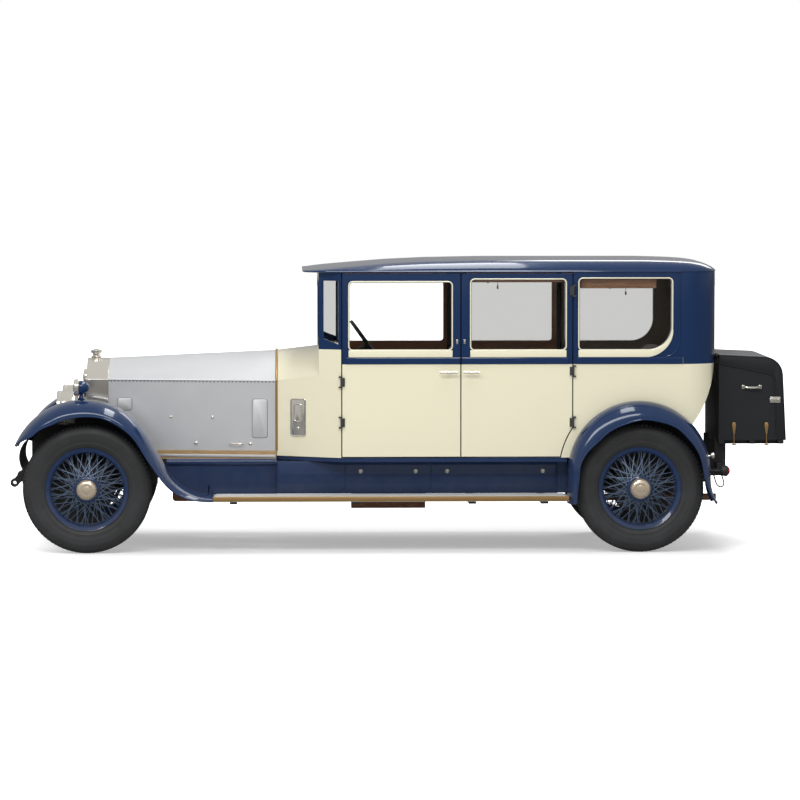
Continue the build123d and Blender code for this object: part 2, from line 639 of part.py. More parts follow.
def make_scuttle():
    """Scuttle shell with its bulkhead, and the front door hinge pins."""
    front = bonnet_section(BONNET_REAR_HALF, FLOOR_TOP, BONNET_SHOULDER, BONNET_REAR_TOP, SCUTTLE_WALL)
    rear = bonnet_section(BODY_HALF, FLOOR_TOP, SCUTTLE_REAR_SHOULDER, SCUTTLE_REAR_TOP, SCUTTLE_WALL)
    inside = loft([at_x(front, SCUTTLE_FRONT_X + 20), at_x(rear, SCUTTLE_REAR_X)])
    inside += along(rear, SCUTTLE_REAR_X - 1, SCUTTLE_REAR_X + 1)
    posts = hinge_posts(FRONT_HINGE_X, FRONT_HINGE_Z, -1)
    return (scuttle_form(0, SCUTTLE_FRONT_X) - inside).fuse(*posts, *[flip(post) for post in posts])


def scuttle_half(x):
    """Half the scuttle's width at a place along the car."""
    share = (x - SCUTTLE_FRONT_X) / (SCUTTLE_REAR_X - SCUTTLE_FRONT_X)
    return BONNET_REAR_HALF + share * (BODY_HALF - BONNET_REAR_HALF)


def quarter_light(inset):
    """The quarter light's outline in X and Z, its sill falling toward the door."""
    x0 = WINDSCREEN_X + WINDSCREEN_DEPTH + inset
    x1 = SCUTTLE_REAR_X - 20 - inset
    return polygon([(x0, 1480 + inset), (x1, 1440 + inset), (x1, 1880 - inset), (x0, 1880 - inset)])


def quarter_plate(y_in, y_out, low, top):
    """An upright plate from the windscreen to the door post, between two depths behind the body's skin."""
    y = scuttle_half(WINDSCREEN_X)
    plan = polygon([(WINDSCREEN_X, y - y_out), (SCUTTLE_REAR_X, BODY_HALF - y_out),
                    (SCUTTLE_REAR_X, BODY_HALF - y_in), (WINDSCREEN_X, y - y_in)])
    return upward(plan, low, top)


def windscreen_face(inset):
    """The windscreen's outline in Y and Z."""
    half = scuttle_half(WINDSCREEN_X) - 40 - inset
    high = WINDSCREEN_HEIGHT - 2 * inset
    return Pos(0, WINDSCREEN_Z) * RectangleRounded(2 * half, high, WINDOW_CORNER - inset)


def make_windscreen_frame():
    """Windscreen frame and the side frames of the quarter lights, seated on the scuttle."""
    top = EAVES_Z - SEAT_GAP
    low = BONNET_SHOULDER
    y = scuttle_half(WINDSCREEN_X)
    rear_x = WINDSCREEN_X + WINDSCREEN_DEPTH
    front = block(WINDSCREEN_X, rear_x, -y, y, low, top)
    front -= along(windscreen_face(0), WINDSCREEN_X - 5, rear_x + 5)
    side = quarter_plate(40, 0, low, top) - across(quarter_light(0), 0, BODY_HALF + 20)
    frame = front + side + flip(side)
    return frame - scuttle_form(-SEAT_GAP, SCUTTLE_FRONT_X)


def back_window(inset):
    """The back window's outline in Y and Z, drawn in by an inset."""
    wide = BACK_WINDOW_WIDTH - 2 * inset
    high = BACK_WINDOW_HEIGHT - 2 * inset
    return Pos(0, BACK_WINDOW_Z) * RectangleRounded(wide, high, BACK_WINDOW_CORNER - inset)


def make_fixed_glass():
    """Windscreen, quarter lights, rear quarter windows and back window."""
    thick = GLASS_THICKNESS
    g = SEAT_GAP
    mid_x = WINDSCREEN_X + WINDSCREEN_DEPTH / 2
    panes = [along(windscreen_face(g), mid_x - thick / 2, mid_x + thick / 2)]
    quarter = quarter_plate(20 + thick, 20, BONNET_SHOULDER, EAVES_Z)
    quarter = quarter & across(quarter_light(g), 0, BODY_HALF)
    rear = across(side_window(QUARTER_X0, QUARTER_X1, QUARTER_GLASS_TOP, g, QUARTER_CORNER),
                  BODY_HALF - WALL / 2 - thick / 2, BODY_HALF - WALL / 2 + thick / 2)
    back_x = BODY_REAR_X - WALL / 2
    back = along(back_window(g), back_x - thick / 2, back_x + thick / 2)
    return panes + [quarter, flip(quarter), rear, flip(rear), back]


def body_plan(inset, front_x):
    """The rear body's outline in X and Y, with rounded rear corners."""
    h = BODY_HALF - inset
    x = BODY_REAR_X - inset
    r = BODY_CORNER - inset
    s = r * math.sqrt(0.5)
    return outline(Line((front_x, -h), (x - r, -h)),
                   ThreePointArc((x - r, -h), (x - r + s, -h + r - s), (x, -h + r)),
                   Line((x, -h + r), (x, h - r)),
                   ThreePointArc((x, h - r), (x - r + s, h - r + s), (x - r, h)),
                   Line((x - r, h), (front_x, h)),
                   Line((front_x, h), (front_x, -h)))


def arch(radius, y0, y1):
    """A round bar across the car at the rear wing's centre."""
    return rod((REAR_WING_X, y0, REAR_WING_Z), (REAR_WING_X, y1, REAR_WING_Z), radius)


def waist_band(x0, x1):
    """The raised moulding below the right side's windows."""
    band = block(x0, x1, BODY_HALF - WAIST_PROUD, BODY_HALF + WAIST_PROUD, WAIST_LOW, WAIST_HIGH)
    return chamfer(band.faces().sort_by(Axis.Y)[-1].edges(), WAIST_PROUD / 2)


def make_rear_body():
    """Quarter panels and back panel as one wall, with its windows, wheel arches and door hinge pins."""
    front_x = 1000
    bottom = FLOOR_TOP + SEAT_GAP
    top = EAVES_Z - SEAT_GAP
    far = 1000
    wall = upward(body_plan(0, front_x), bottom, top)
    wall -= upward(body_plan(WALL, front_x - 5), bottom - 5, top + 5)
    kept = block(REAR_DOOR_X1 + DOOR_GAP, 3 * far, -far, far, 0, 3 * far)
    kept += arch(DOOR_ARCH_RADIUS - DOOR_GAP, -far, far)
    wall = wall & kept
    wall -= arch(REAR_WING_RADIUS + SEAT_GAP, -far, far)
    tail = outline(Line((BODY_REAR_X + 5, 1345), (BODY_REAR_X - 10, 1345)),
                   ThreePointArc((BODY_REAR_X - 10, 1345), (2150, 1100), (2035, 890)),
                   Line((2035, 890), (1900, bottom)),
                   Line((1900, bottom), (1900, bottom - 50)),
                   Line((1900, bottom - 50), (BODY_REAR_X + 5, bottom - 50)),
                   Line((BODY_REAR_X + 5, bottom - 50), (BODY_REAR_X + 5, 1345)))
    wall -= across(tail, -far, far)
    for side in (-1, 1):
        y0, y1 = sorted((side * (BODY_HALF - 2 * WALL), side * (BODY_HALF + 20)))
        wall -= across(side_window(QUARTER_X0, QUARTER_X1, QUARTER_GLASS_TOP, 0, QUARTER_CORNER), y0, y1)
    wall -= along(back_window(0), BODY_REAR_X - 2 * WALL, BODY_REAR_X + 20)
    band = waist_band(REAR_HINGE_X + HINGE_LUG, BODY_REAR_X - BODY_CORNER)
    pieces = hinge_posts(REAR_HINGE_X, REAR_HINGE_Z, 1) + [band]
    return wall.fuse(*pieces, *[flip(piece) for piece in pieces])


def make_body_frame():
    """Floor, sills and the posts behind the meeting edges of the doors."""
    front = SCUTTLE_FRONT_X
    wide = BODY_HALF - FLOOR_EDGE
    narrow = REAR_WING_INNER - 40
    nose = BONNET_REAR_HALF - 10
    step_x = REAR_WING_X - REAR_WING_RADIUS - FLOOR_EDGE
    half = [(front, nose), (SCUTTLE_REAR_X, wide), (step_x, wide), (step_x, narrow), (FLOOR_REAR_X, narrow)]
    floor = upward(polygon(half + [(x, -y) for x, y in reversed(half)]), FLOOR_BOTTOM, FLOOR_TOP)
    seam = (FRONT_DOOR_X1 + REAR_DOOR_X0) / 2
    post_y = BODY_HALF - WALL - DOOR_GAP
    post = block(seam - 42, seam + 42, post_y - 45, post_y, FLOOR_TOP - 5, EAVES_Z - SEAT_GAP)
    return floor + post + flip(post)


def make_roof():
    """The roof shell: crowned across, falling to the front and rounded at the back."""
    def form(inset, bottom):
        half = BODY_HALF + ROOF_LIP - inset
        top = ROOF_TOP_Z - inset
        over = top + ROOF_LIP
        below = bottom - ROOF_OVERHANG
        wide = half + ROOF_OVERHANG
        shoulder_y = half - ROOF_SHOULDER
        shoulder_z = top - 20
        section = outline(ThreePointArc((-wide, below), (-half + 40, top - 47), (-shoulder_y, shoulder_z)),
                          ThreePointArc((-shoulder_y, shoulder_z), (0, top), (shoulder_y, shoulder_z)),
                          ThreePointArc((shoulder_y, shoulder_z), (half - 40, top - 47), (wide, below)),
                          Line((wide, below), (-wide, below)))
        front = ROOF_FRONT_X + inset
        rear = BODY_REAR_X + ROOF_LIP - inset
        start = front - ROOF_OVERHANG
        end = rear + ROOF_OVERHANG
        edge_z = EAVES_Z + 2
        profile = outline(Line((start, below), (start, edge_z)),
                          ThreePointArc((start, edge_z), (-77, over - 30), (600, over)),
                          Line((600, over), (1700, over)),
                          ThreePointArc((1700, over), (2080, over - 30), (end, edge_z)),
                          Line((end, edge_z), (end, below)),
                          Line((end, below), (start, below)))
        plan = Pos((front + rear) / 2, 0) * RectangleRounded(rear - front, 2 * half, BODY_CORNER - inset)
        crowned = along(section, start, end) & across(profile, -wide, wide)
        return upward(plan, bottom, top + ROOF_WALL) & crowned
    return form(0, EAVES_Z) - form(ROOF_WALL, EAVES_Z - ROOF_LIP)


def make_door(x0, x1, window, barrels, band, handle_x0, handle_x1, arched):
    """A door on the right side: one wall thick, with its window, waist band, hinge barrels and handle."""
    door = block(x0, x1, BODY_HALF - WALL, BODY_HALF, DOOR_BOTTOM, DOOR_TOP)
    door -= across(window, BODY_HALF - 2 * WALL, BODY_HALF + 20)
    if arched:
        door -= arch(DOOR_ARCH_RADIUS, 0, 1000)
    stem_x = (handle_x0 + handle_x1) / 2
    handle = rod((stem_x, BODY_HALF - 5, HANDLE_Z), (stem_x, BODY_HALF + 40, HANDLE_Z), 8)
    handle += rod((handle_x0, BODY_HALF + 40, HANDLE_Z), (handle_x1, BODY_HALF + 40, HANDLE_Z), 9)
    return door.fuse(handle, band, *barrels)


def make_doors():
    """The right front door, right rear door and the rear door's glass."""
    front_window = side_window(FRONT_WINDOW_X0, FRONT_WINDOW_X1, FRONT_GLASS_TOP, 0, WINDOW_CORNER)
    rear_window = side_window(REAR_WINDOW_X0, REAR_WINDOW_X1, REAR_GLASS_TOP, 0, WINDOW_CORNER)
    front = make_door(FRONT_DOOR_X0, FRONT_DOOR_X1, front_window,
                      hinge_barrels(FRONT_HINGE_X, FRONT_HINGE_Z, 1),
                      waist_band(FRONT_DOOR_X0 + HINGE_LUG, FRONT_DOOR_X1),
                      276, 400, False)
    rear = make_door(REAR_DOOR_X0, REAR_DOOR_X1, rear_window,
                     hinge_barrels(REAR_HINGE_X, REAR_HINGE_Z, -1),
                     waist_band(REAR_DOOR_X0, REAR_DOOR_X1 - HINGE_LUG),
                     440, 550, True)
    pane = side_window(REAR_WINDOW_X0, REAR_WINDOW_X1, REAR_GLASS_TOP, SEAT_GAP, WINDOW_CORNER)
    mid = BODY_HALF - WALL / 2
    glass = across(pane, mid - GLASS_THICKNESS / 2, mid + GLASS_THICKNESS / 2)
    return front, rear, glass


def make_seat(x0, half):
    """A bench with its back, drawn out across the car."""
    z = FLOOR_TOP + SEAT_GAP
    rear_x = x0 + SEAT_LENGTH
    lean = SEAT_BACK_LEAN
    top = z + SEAT_BACK_HEIGHT
    face = polygon([(x0, z), (rear_x, z), (rear_x + lean, top), (rear_x - 110 + lean, top),
                    (rear_x - 140, z + SEAT_HEIGHT - 20), (x0, z + SEAT_HEIGHT)])
    return across(fillet(face.vertices().sort_by(Axis.Y)[2:], 30), -half, half)


def make_steering():
    """Steering wheel with its shaft, and the fixed column that carries it."""
    slope = math.radians(COLUMN_SLOPE)
    up = Vector(math.cos(slope), 0, math.sin(slope))
    centre = Vector(STEERING_WHEEL_X, STEERING_WHEEL_Y, STEERING_WHEEL_Z)
    plane = Plane(centre, x_dir=(0, 1, 0), z_dir=up)
    rim = Torus(STEERING_WHEEL_RADIUS - STEERING_RIM_RADIUS, STEERING_RIM_RADIUS)
    wheel = rim + Pos(0, 0, -10) * Cylinder(38, 40)
    for number in range(4):
        spoke = Pos(STEERING_WHEEL_RADIUS / 2 - 5, 0, -4) * Box(STEERING_WHEEL_RADIUS - 20, 22, 10)
        wheel += Rot(0, 0, 45 + 90 * number) * spoke
    wheel += Pos(0, 0, -75) * Cylinder(COLUMN_SHAFT_RADIUS, 100)
    top = centre - up * (30 + SEAT_GAP)
    length = (top.X - (SCUTTLE_FRONT_X + 60)) / math.cos(slope)
    foot = top - up * length
    column = rod((foot.X, foot.Y, foot.Z), (top.X, top.Y, top.Z), COLUMN_RADIUS)
    hole = top - up * 110
    bore = COLUMN_SHAFT_RADIUS + PIN_CLEARANCE
    column -= rod((hole.X, hole.Y, hole.Z), (centre.X, centre.Y, centre.Z), bore)
    bulkhead = SCUTTLE_FRONT_X + 20 + SEAT_GAP
    column += block(bulkhead, SCUTTLE_FRONT_X + 62, STEERING_WHEEL_Y - 40, STEERING_WHEEL_Y + 40,
                    foot.Z - 50, foot.Z + 50)
    return plane * wheel, column


def wing_section(inner_y, crown_y, radius, drop):
    """A wing's sheet in distance from its centre and Y: raised at the crown and dropped at the lip."""
    t = WING_SHEET
    inner = radius - WING_INNER_DROP
    lip = radius - drop
    return outline(TangentArc((radius, crown_y), (inner, inner_y), tangent=(0, -1)),
                   Line((inner, inner_y), (inner - t, inner_y)),
                   TangentArc((radius - t, crown_y), (inner - t, inner_y), tangent=(0, -1)),
                   TangentArc((radius - t, crown_y), (lip - t, WING_OUTER - t), tangent=(0, 1)),
                   Line((lip - t, WING_OUTER - t), (lip, WING_OUTER)),
                   TangentArc((radius, crown_y), (lip, WING_OUTER), tangent=(0, 1)))


def radial_plane(x, z, angle):
    """A plane through a wing's centre, with its first axis at an angle above +X and its second along Y."""
    a = math.radians(angle)
    return Plane((x, 0, z), x_dir=(math.cos(a), 0, math.sin(a)), z_dir=(-math.sin(a), 0, math.cos(a)))


def crown_point(x, z, radius, angle):
    """A point of a wing's crown line, in X and Z."""
    a = math.radians(angle)
    return x + radius * math.cos(a), z + radius * math.sin(a)


def make_front_wing():
    """The right front wing: round over the wheel, straight behind it, then curved to the running board."""
    x, z = FRONT_WING_X, FRONT_WING_Z
    leave = FRONT_WING_LEAVE_ANGLE

    def section(angle, drop):
        flat = wing_section(FRONT_WING_INNER, FRONT_WING_CROWN_Y, FRONT_WING_RADIUS, drop)
        return radial_plane(x, z, angle) * flat

    start = section(FRONT_WING_TIP_ANGLE, WING_DROP)
    wing = revolve(start, axis=Axis((x, 0, z), (0, 1, 0)), revolution_arc=FRONT_WING_TIP_ANGLE - leave)
    a = math.radians(leave)
    run = Vector(math.sin(a), 0, -math.cos(a)) * FRONT_WING_RUN
    px, pz = crown_point(x, z, FRONT_WING_RADIUS + FRONT_WING_FOOT_RADIUS, leave)
    foot_axis = Axis(Vector(px, 0, pz) + run, (0, -1, 0))
    turn = (90 - leave) / (len(FOOT_DROPS) - 1)
    foot = [(Pos(*run) * section(leave, drop)).rotate(foot_axis, number * turn)
            for number, drop in enumerate(FOOT_DROPS)]
    wing += loft([section(leave, WING_DROP), foot[0]])
    wing += loft(foot)
    tip_x, tip_z = crown_point(x, z, FRONT_WING_RADIUS, FRONT_WING_TIP_ANGLE)
    tip_lip = polygon([(tip_x - 5, tip_z - 34), (tip_x + TIP_LIP, tip_z + 0.6 * TIP_LIP),
                       (tip_x + TIP_LIP, 0), (tip_x - 5, 0)])
    wing -= across(tip_lip, 0, WING_OUTER + 10)
    wing -= block(BOARD_FRONT_X - SEAT_GAP, 0, 0, WING_OUTER + 10, 0, 2 * BOARD_TOP)
    return wing


def make_rear_wing():
    """The right rear wing: upright in front, round over the wheel and flared at its tail."""
    section = wing_section(REAR_WING_INNER, REAR_WING_CROWN_Y, REAR_WING_RADIUS, WING_DROP)
    x, z = REAR_WING_X, REAR_WING_Z
    start = radial_plane(x, z, 180) * section
    wing = revolve(start, axis=Axis((x, 0, z), (0, 1, 0)), revolution_arc=180)
    wing += extrude(start, amount=z - (BOARD_BOTTOM - 18), dir=(0, 0, -1))
    after = radial_plane(x, z, 0) * section
    wing += extrude(after, amount=REAR_WING_TAIL_RUN, dir=(0, 0, -1))
    tail = Pos(0, 0, -REAR_WING_TAIL_RUN) * after
    centre = (x + REAR_WING_RADIUS + REAR_WING_TAIL_RADIUS, 0, z - REAR_WING_TAIL_RUN)
    wing += revolve(tail, axis=Axis(centre, (0, -1, 0)), revolution_arc=REAR_WING_TAIL_TURN)
    return wing


def make_running_board():
    """The right running board with a rounded outer edge."""
    board = block(BOARD_FRONT_X, BOARD_REAR_X, BOARD_INNER, BOARD_OUTER, BOARD_BOTTOM, BOARD_TOP)
    return fillet(board.edges().filter_by(Axis.X).sort_by(Axis.Y)[-2:], 12)


def make_valances():
    """On the right: the front valance with its shelf, and the tool-box valance on the running board."""
    shelf_x0 = -1620
    shelf_x1 = SCUTTLE_FRONT_X
    shelf_z = RAIL_TOP - SEAT_GAP
    face = polygon([(shelf_x0, shelf_z), (shelf_x1, shelf_z), (shelf_x1, BOARD_TOP),
                    (BOARD_FRONT_X - 100, BOARD_TOP)])
    front = across(face, FRONT_VALANCE_Y - VALANCE_SHEET, FRONT_VALANCE_Y)
    front += block(shelf_x0, shelf_x1, RAIL_OUTER + SEAT_GAP, FRONT_VALANCE_Y, shelf_z - 20, shelf_z)
    rear = block(shelf_x1 + 1, 1105, VALANCE_Y - VALANCE_SHEET, VALANCE_Y, BOARD_TOP + SEAT_GAP, shelf_z)
    return [front, rear]


def make_headlamps():
    """Two drum headlamps on the tie bar between the front wings, with posts down to the rails."""
    bar_x, bar_z, lamp_y, lamp_z = -2225, 1000, 370, 985
    post_y = (RAIL_INNER + RAIL_OUTER) / 2
    lamps = rod((bar_x, -FRONT_WING_INNER + 1, bar_z), (bar_x, FRONT_WING_INNER - 1, bar_z), 16)
    drum = polygon([(0, -170), (70, -168), (104, -158), (120, -150),
                    (120, -60), (112, -40), (60, -8), (0, 0)])
    for side in (-1, 1):
        lamps += Pos(bar_x, side * lamp_y, lamp_z) * revolve(Plane.YX * drum, axis=Axis.X)
        lamps += rod((bar_x, side * post_y, RAIL_TOP + SEAT_GAP), (bar_x, side * post_y, bar_z), 14)
    return lamps


def make_side_lamps():
    """Torpedo side lamps on pedestals on the front wing crowns."""
    x, y = -2200, FRONT_WING_CROWN_Y
    crown_z = FRONT_WING_Z + FRONT_WING_RADIUS
    z = crown_z + 84
    body = polygon([(0, -58), (42, -54), (58, -46), (58, -22), (48, -16), (40, 24), (18, 52), (0, 56)])
    lamp = Pos(x, y, z) * revolve(Plane.YX * body, axis=Axis.X)
    lamp += Pos(x, y, 0) * rod((0, 0, crown_z + SEAT_GAP), (0, 0, z), 13)
    return [lamp, flip(lamp)]


def make_tail_lamp():
    """A round tail lamp on a bracket from the left rear wing."""
    x, y, z = 2256, -REAR_WING_CROWN_Y, REAR_WING_Z + 8
    lamp = Pos(x, y, z) * Sphere(38)
    lamp += rod((REAR_WING_X + REAR_WING_RADIUS + SEAT_GAP, y, z), (x, y, z), 9)
    return lamp


def trunk_profile(inset):
    """The trunk's side outline in X and Z: falling and leaning toward its rounded top rear edge."""
    x0 = TRUNK_FRONT_X
    x1 = TRUNK_REAR_X - inset
    z1 = TRUNK_TOP - inset
    corner = (x1 - TRUNK_LEAN, z1 - TRUNK_FALL)
    face = polygon([(x0, TRUNK_BOTTOM), (x0, z1), corner, (x1, TRUNK_BOTTOM)])
    return fillet(face.vertices().sort_by_distance(corner)[0], TRUNK_ROUND - inset)


def make_trunk():
    """The trunk box, open at the top and rear, and the lid that covers both."""
    half = TRUNK_HALF
    w = TRUNK_WALL
    box = across(trunk_profile(TRUNK_LID + LID_GAP), -half, half)
    box -= block(TRUNK_FRONT_X + w, TRUNK_REAR_X, -half + w, half - w, TRUNK_BOTTOM + w, TRUNK_TOP)
    lid = across(trunk_profile(0), -half, half) - across(trunk_profile(TRUNK_LID), -half - 5, half + 5)
    for side in (-1, 1):
        y = side * (half - 30)
        box += block(LID_HINGE_X - 4, TRUNK_FRONT_X + 4, y - 10, y + 10, LID_HINGE_Z - 45, LID_HINGE_Z - 18)
        box += block(LID_HINGE_X - 4, LID_HINGE_X + 3, y - 10, y + 10, LID_HINGE_Z - 45, LID_HINGE_Z + 4)
    box += rod((LID_HINGE_X, -half + 30, LID_HINGE_Z), (LID_HINGE_X, half - 30, LID_HINGE_Z), LID_PIN_RADIUS)
    for y in (-300, 300):
        lid += rod((LID_HINGE_X, y - 30, LID_HINGE_Z), (LID_HINGE_X, y + 30, LID_HINGE_Z), 8)
        lid += block(LID_HINGE_X, TRUNK_FRONT_X + 4, y - 30, y + 30, LID_HINGE_Z, TRUNK_TOP - 2)
    lid -= rod((LID_HINGE_X, -half, LID_HINGE_Z), (LID_HINGE_X, half, LID_HINGE_Z),
               LID_PIN_RADIUS + PIN_CLEARANCE)
    return box, lid


def make_luggage_rack():
    """Slatted rack below the trunk, on arms from the chassis rails."""
    z1 = TRUNK_BOTTOM - SEAT_GAP
    z0 = z1 - RACK_BAR
    rack = block(TRUNK_FRONT_X - 20, TRUNK_REAR_X - 5, -RAIL_OUTER, -RAIL_INNER, z0, z1)
    rack += block(TRUNK_FRONT_X - 20, TRUNK_REAR_X - 5, RAIL_INNER, RAIL_OUTER, z0, z1)
    for x in (TRUNK_FRONT_X + 20, (TRUNK_FRONT_X + TRUNK_REAR_X) / 2, TRUNK_REAR_X - 40):
        rack += block(x - 20, x + 20, -TRUNK_HALF, TRUNK_HALF, z0 + 5, z1)
    for side in (-1, 1):
        y0, y1 = sorted((side * RAIL_INNER, side * RAIL_OUTER))
        rack += block(TRUNK_FRONT_X - 20, RAIL_REAR_X, y0, y1, RAIL_TOP + SEAT_GAP, z0 + 5)
    return rack


def build_parts():
    """Every node of the car, by name."""
    parts = {}
    tyre = make_tyre()
    wheel = make_wire_wheel()
    for end, x in (("front", FRONT_AXLE_X), ("rear", REAR_AXLE_X)):
        for side, y, turn in (("left", -WHEEL_Y, 0), ("right", WHEEL_Y, 180)):
            place = Pos(x, y, AXLE_Z) * Rot(0, 0, turn)
            parts[f"tyre_{end}_{side}"] = place * tyre
            parts[f"wheel_{end}_{side}"] = place * wheel
    knuckle = make_knuckle()
    parts["knuckle_left"] = knuckle
    parts["knuckle_right"] = flip(knuckle)
    parts["track_rod"] = make_track_rod()
    parts["front_axle"] = make_front_axle()
    parts["rear_axle"] = make_rear_axle()
    parts["leaf_springs"] = make_leaf_springs()
    parts["chassis_frame"] = make_chassis()
    parts["board_brackets"] = make_board_brackets()
    parts["engine_block"] = make_engine()
    parts["exhaust"] = make_exhaust()
    parts["fuel_tank"] = make_fuel_tank()
    parts["front_apron"] = make_front_apron()
    parts["radiator_shell"], parts["radiator_grille"], parts["radiator_core"] = make_radiator()
    parts["radiator_cap"] = make_radiator_cap()
    parts["bonnet_top"], parts["bonnet_side_left"], parts["bonnet_side_right"] = make_bonnet()
    parts["bonnet_ledges"] = make_bonnet_ledges()
    parts["scuttle"] = make_scuttle()
    parts["windscreen_frame"] = make_windscreen_frame()
    parts["fixed_glass"] = make_fixed_glass()
    parts["roof"] = make_roof()
    parts["rear_body"] = make_rear_body()
    parts["body_frame"] = make_body_frame()
    front_door, rear_door, door_glass = make_doors()
    for name, shape in (("door_front", front_door), ("door_rear", rear_door), ("glass_rear", door_glass)):
        parts[f"{name}_right"] = shape
        parts[f"{name}_left"] = flip(shape)
    parts["seat_front"] = make_seat(FRONT_SEAT_X, BODY_HALF - WALL - SEAT_SIDE_ROOM)
    parts["seat_rear"] = make_seat(REAR_SEAT_X, REAR_WING_INNER - SEAT_ARCH_ROOM)
    parts["steering_wheel"], parts["steering_column"] = make_steering()
    for name, wing in (("wing_front", make_front_wing()), ("wing_rear", make_rear_wing())):
        parts[f"{name}_right"] = wing
        parts[f"{name}_left"] = flip(wing)
    board = make_running_board()
    parts["running_boards"] = [flip(board), board]
    valances = make_valances()
    parts["valances"] = [flip(piece) for piece in valances] + valances
    parts["headlamps"] = make_headlamps()
    parts["side_lamps"] = make_side_lamps()
    parts["tail_lamp"] = make_tail_lamp()
    parts["trunk"], parts["trunk_lid"] = make_trunk()
    parts["luggage_rack"] = make_luggage_rack()
    return parts


def main():
    os.makedirs("parts", exist_ok=True)
    for name, shape in build_parts().items():
        solid = Compound(children=shape) if isinstance(shape, list) else shape
        export_step(solid, f"parts/{name}.step")


main()
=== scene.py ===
import math

import bpy
from mathutils import Matrix, Vector


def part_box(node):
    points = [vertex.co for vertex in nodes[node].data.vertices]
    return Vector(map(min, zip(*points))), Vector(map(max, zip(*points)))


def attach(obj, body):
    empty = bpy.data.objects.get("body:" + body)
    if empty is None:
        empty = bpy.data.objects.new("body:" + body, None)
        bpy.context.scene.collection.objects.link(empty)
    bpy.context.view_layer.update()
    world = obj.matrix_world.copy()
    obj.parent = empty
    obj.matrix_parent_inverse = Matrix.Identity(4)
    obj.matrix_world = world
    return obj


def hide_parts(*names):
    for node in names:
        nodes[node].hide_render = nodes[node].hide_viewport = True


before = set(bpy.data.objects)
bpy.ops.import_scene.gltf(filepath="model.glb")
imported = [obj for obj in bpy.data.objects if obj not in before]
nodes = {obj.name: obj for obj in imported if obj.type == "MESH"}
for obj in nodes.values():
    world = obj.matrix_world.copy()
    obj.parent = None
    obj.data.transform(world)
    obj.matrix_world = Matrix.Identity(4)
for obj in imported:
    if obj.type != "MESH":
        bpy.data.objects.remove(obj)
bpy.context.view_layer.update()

bpy.ops.object.select_all(action="DESELECT")
ROOT = "car"
ORIGIN = (0, 0, 0)
UP = (0, 0, 1)
FINE_EDGE = 0.0015

# Main places of the car, in metres
FRONT_AXLE = Vector((-2.160, 0.0, 0.4445))
REAR_AXLE = Vector((1.662, 0.0, 0.4445))
WHEEL_Y = 0.720
BODY_HALF = 0.740
WAIST_LOW = 1.303
WAIST_HIGH = 1.350
POST_LOW = 1.405
EAVES = 1.940

# Linear colours of the finishes
NAVY = (0.0105, 0.030, 0.092, 1.0)
CREAM = (0.845, 0.80, 0.60, 1.0)
BLACK = (0.010, 0.010, 0.012, 1.0)
BRASS = (0.53, 0.33, 0.135, 1.0)
NICKEL = (0.86, 0.82, 0.74, 1.0)
# Sky blue tint on the paint's reflections: a painted sky reflection.
SKY_REFLECTION_TINT = (0.74, 0.87, 1.0, 1.0)
WHITE = (1.0, 1.0, 1.0, 1.0)


# Shader node groups shared by the finishes

def new_group(name, inputs, outputs):
    """An empty shader group with named sockets: columns are name, socket type and default."""
    group = bpy.data.node_groups.new(name, "ShaderNodeTree")
    for socket, kind, default in inputs:
        made = group.interface.new_socket(socket, in_out="INPUT", socket_type=kind)
        made.default_value = default
    for socket, kind in outputs:
        group.interface.new_socket(socket, in_out="OUTPUT", socket_type=kind)
    start = group.nodes.new("NodeGroupInput")
    end = group.nodes.new("NodeGroupOutput")
    return group, start, end


def math_node(tree, operation, a, b, clamp=False):
    """A Math node with two sockets or numbers."""
    node = tree.nodes.new("ShaderNodeMath")
    node.operation = operation
    node.use_clamp = clamp
    for slot, value in ((0, a), (1, b)):
        if isinstance(value, (int, float)):
            node.inputs[slot].default_value = value
        else:
            tree.links.new(value, node.inputs[slot])
    return node.outputs[0]


def noise_node(tree, scale, detail=4.0, stretch=None):
    """Noise on Object coordinates, stretched by three factors where given."""
    where = tree.nodes.new("ShaderNodeTexCoord").outputs["Object"]
    if stretch:
        mapping = tree.nodes.new("ShaderNodeMapping")
        mapping.inputs["Scale"].default_value = stretch
        tree.links.new(where, mapping.inputs["Vector"])
        where = mapping.outputs["Vector"]
    noise = tree.nodes.new("ShaderNodeTexNoise")
    noise.inputs["Detail"].default_value = detail
    if isinstance(scale, (int, float)):
        noise.inputs["Scale"].default_value = scale
    else:
        tree.links.new(scale, noise.inputs["Scale"])
    tree.links.new(where, noise.inputs["Vector"])
    return noise.outputs["Fac"]


def split_place(tree, kind="Object"):
    """The X, Y and Z sockets of a texture coordinate."""
    split = tree.nodes.new("ShaderNodeSeparateXYZ")
    tree.links.new(tree.nodes.new("ShaderNodeTexCoord").outputs[kind], split.inputs["Vector"])
    return split.outputs


def mixed(tree, factor, first, second):
    """A colour between two, each a colour or a socket."""
    mix = tree.nodes.new("ShaderNodeMix")
    mix.data_type = "RGBA"
    tree.links.new(factor, mix.inputs["Factor"])
    for slot, colour in (("A", first), ("B", second)):
        if isinstance(colour, tuple):
            mix.inputs[slot].default_value = colour
        else:
            tree.links.new(colour, mix.inputs[slot])
    return mix.outputs["Result"]


def make_patches_group():
    """Soft patches: a value that wanders between two limits over the surface."""
    number = "NodeSocketFloat"
    group, start, end = new_group("Soft patches",
                                  [("Scale", number, 6.0), ("Low", number, 0.1), ("High", number, 0.2)],
                                  [("Value", number)])
    fac = noise_node(group, start.outputs["Scale"])
    spread = math_node(group, "SUBTRACT", start.outputs["High"], start.outputs["Low"])
    value = math_node(group, "ADD", start.outputs["Low"], math_node(group, "MULTIPLY", fac, spread))
    group.links.new(value, end.inputs["Value"])
    return group


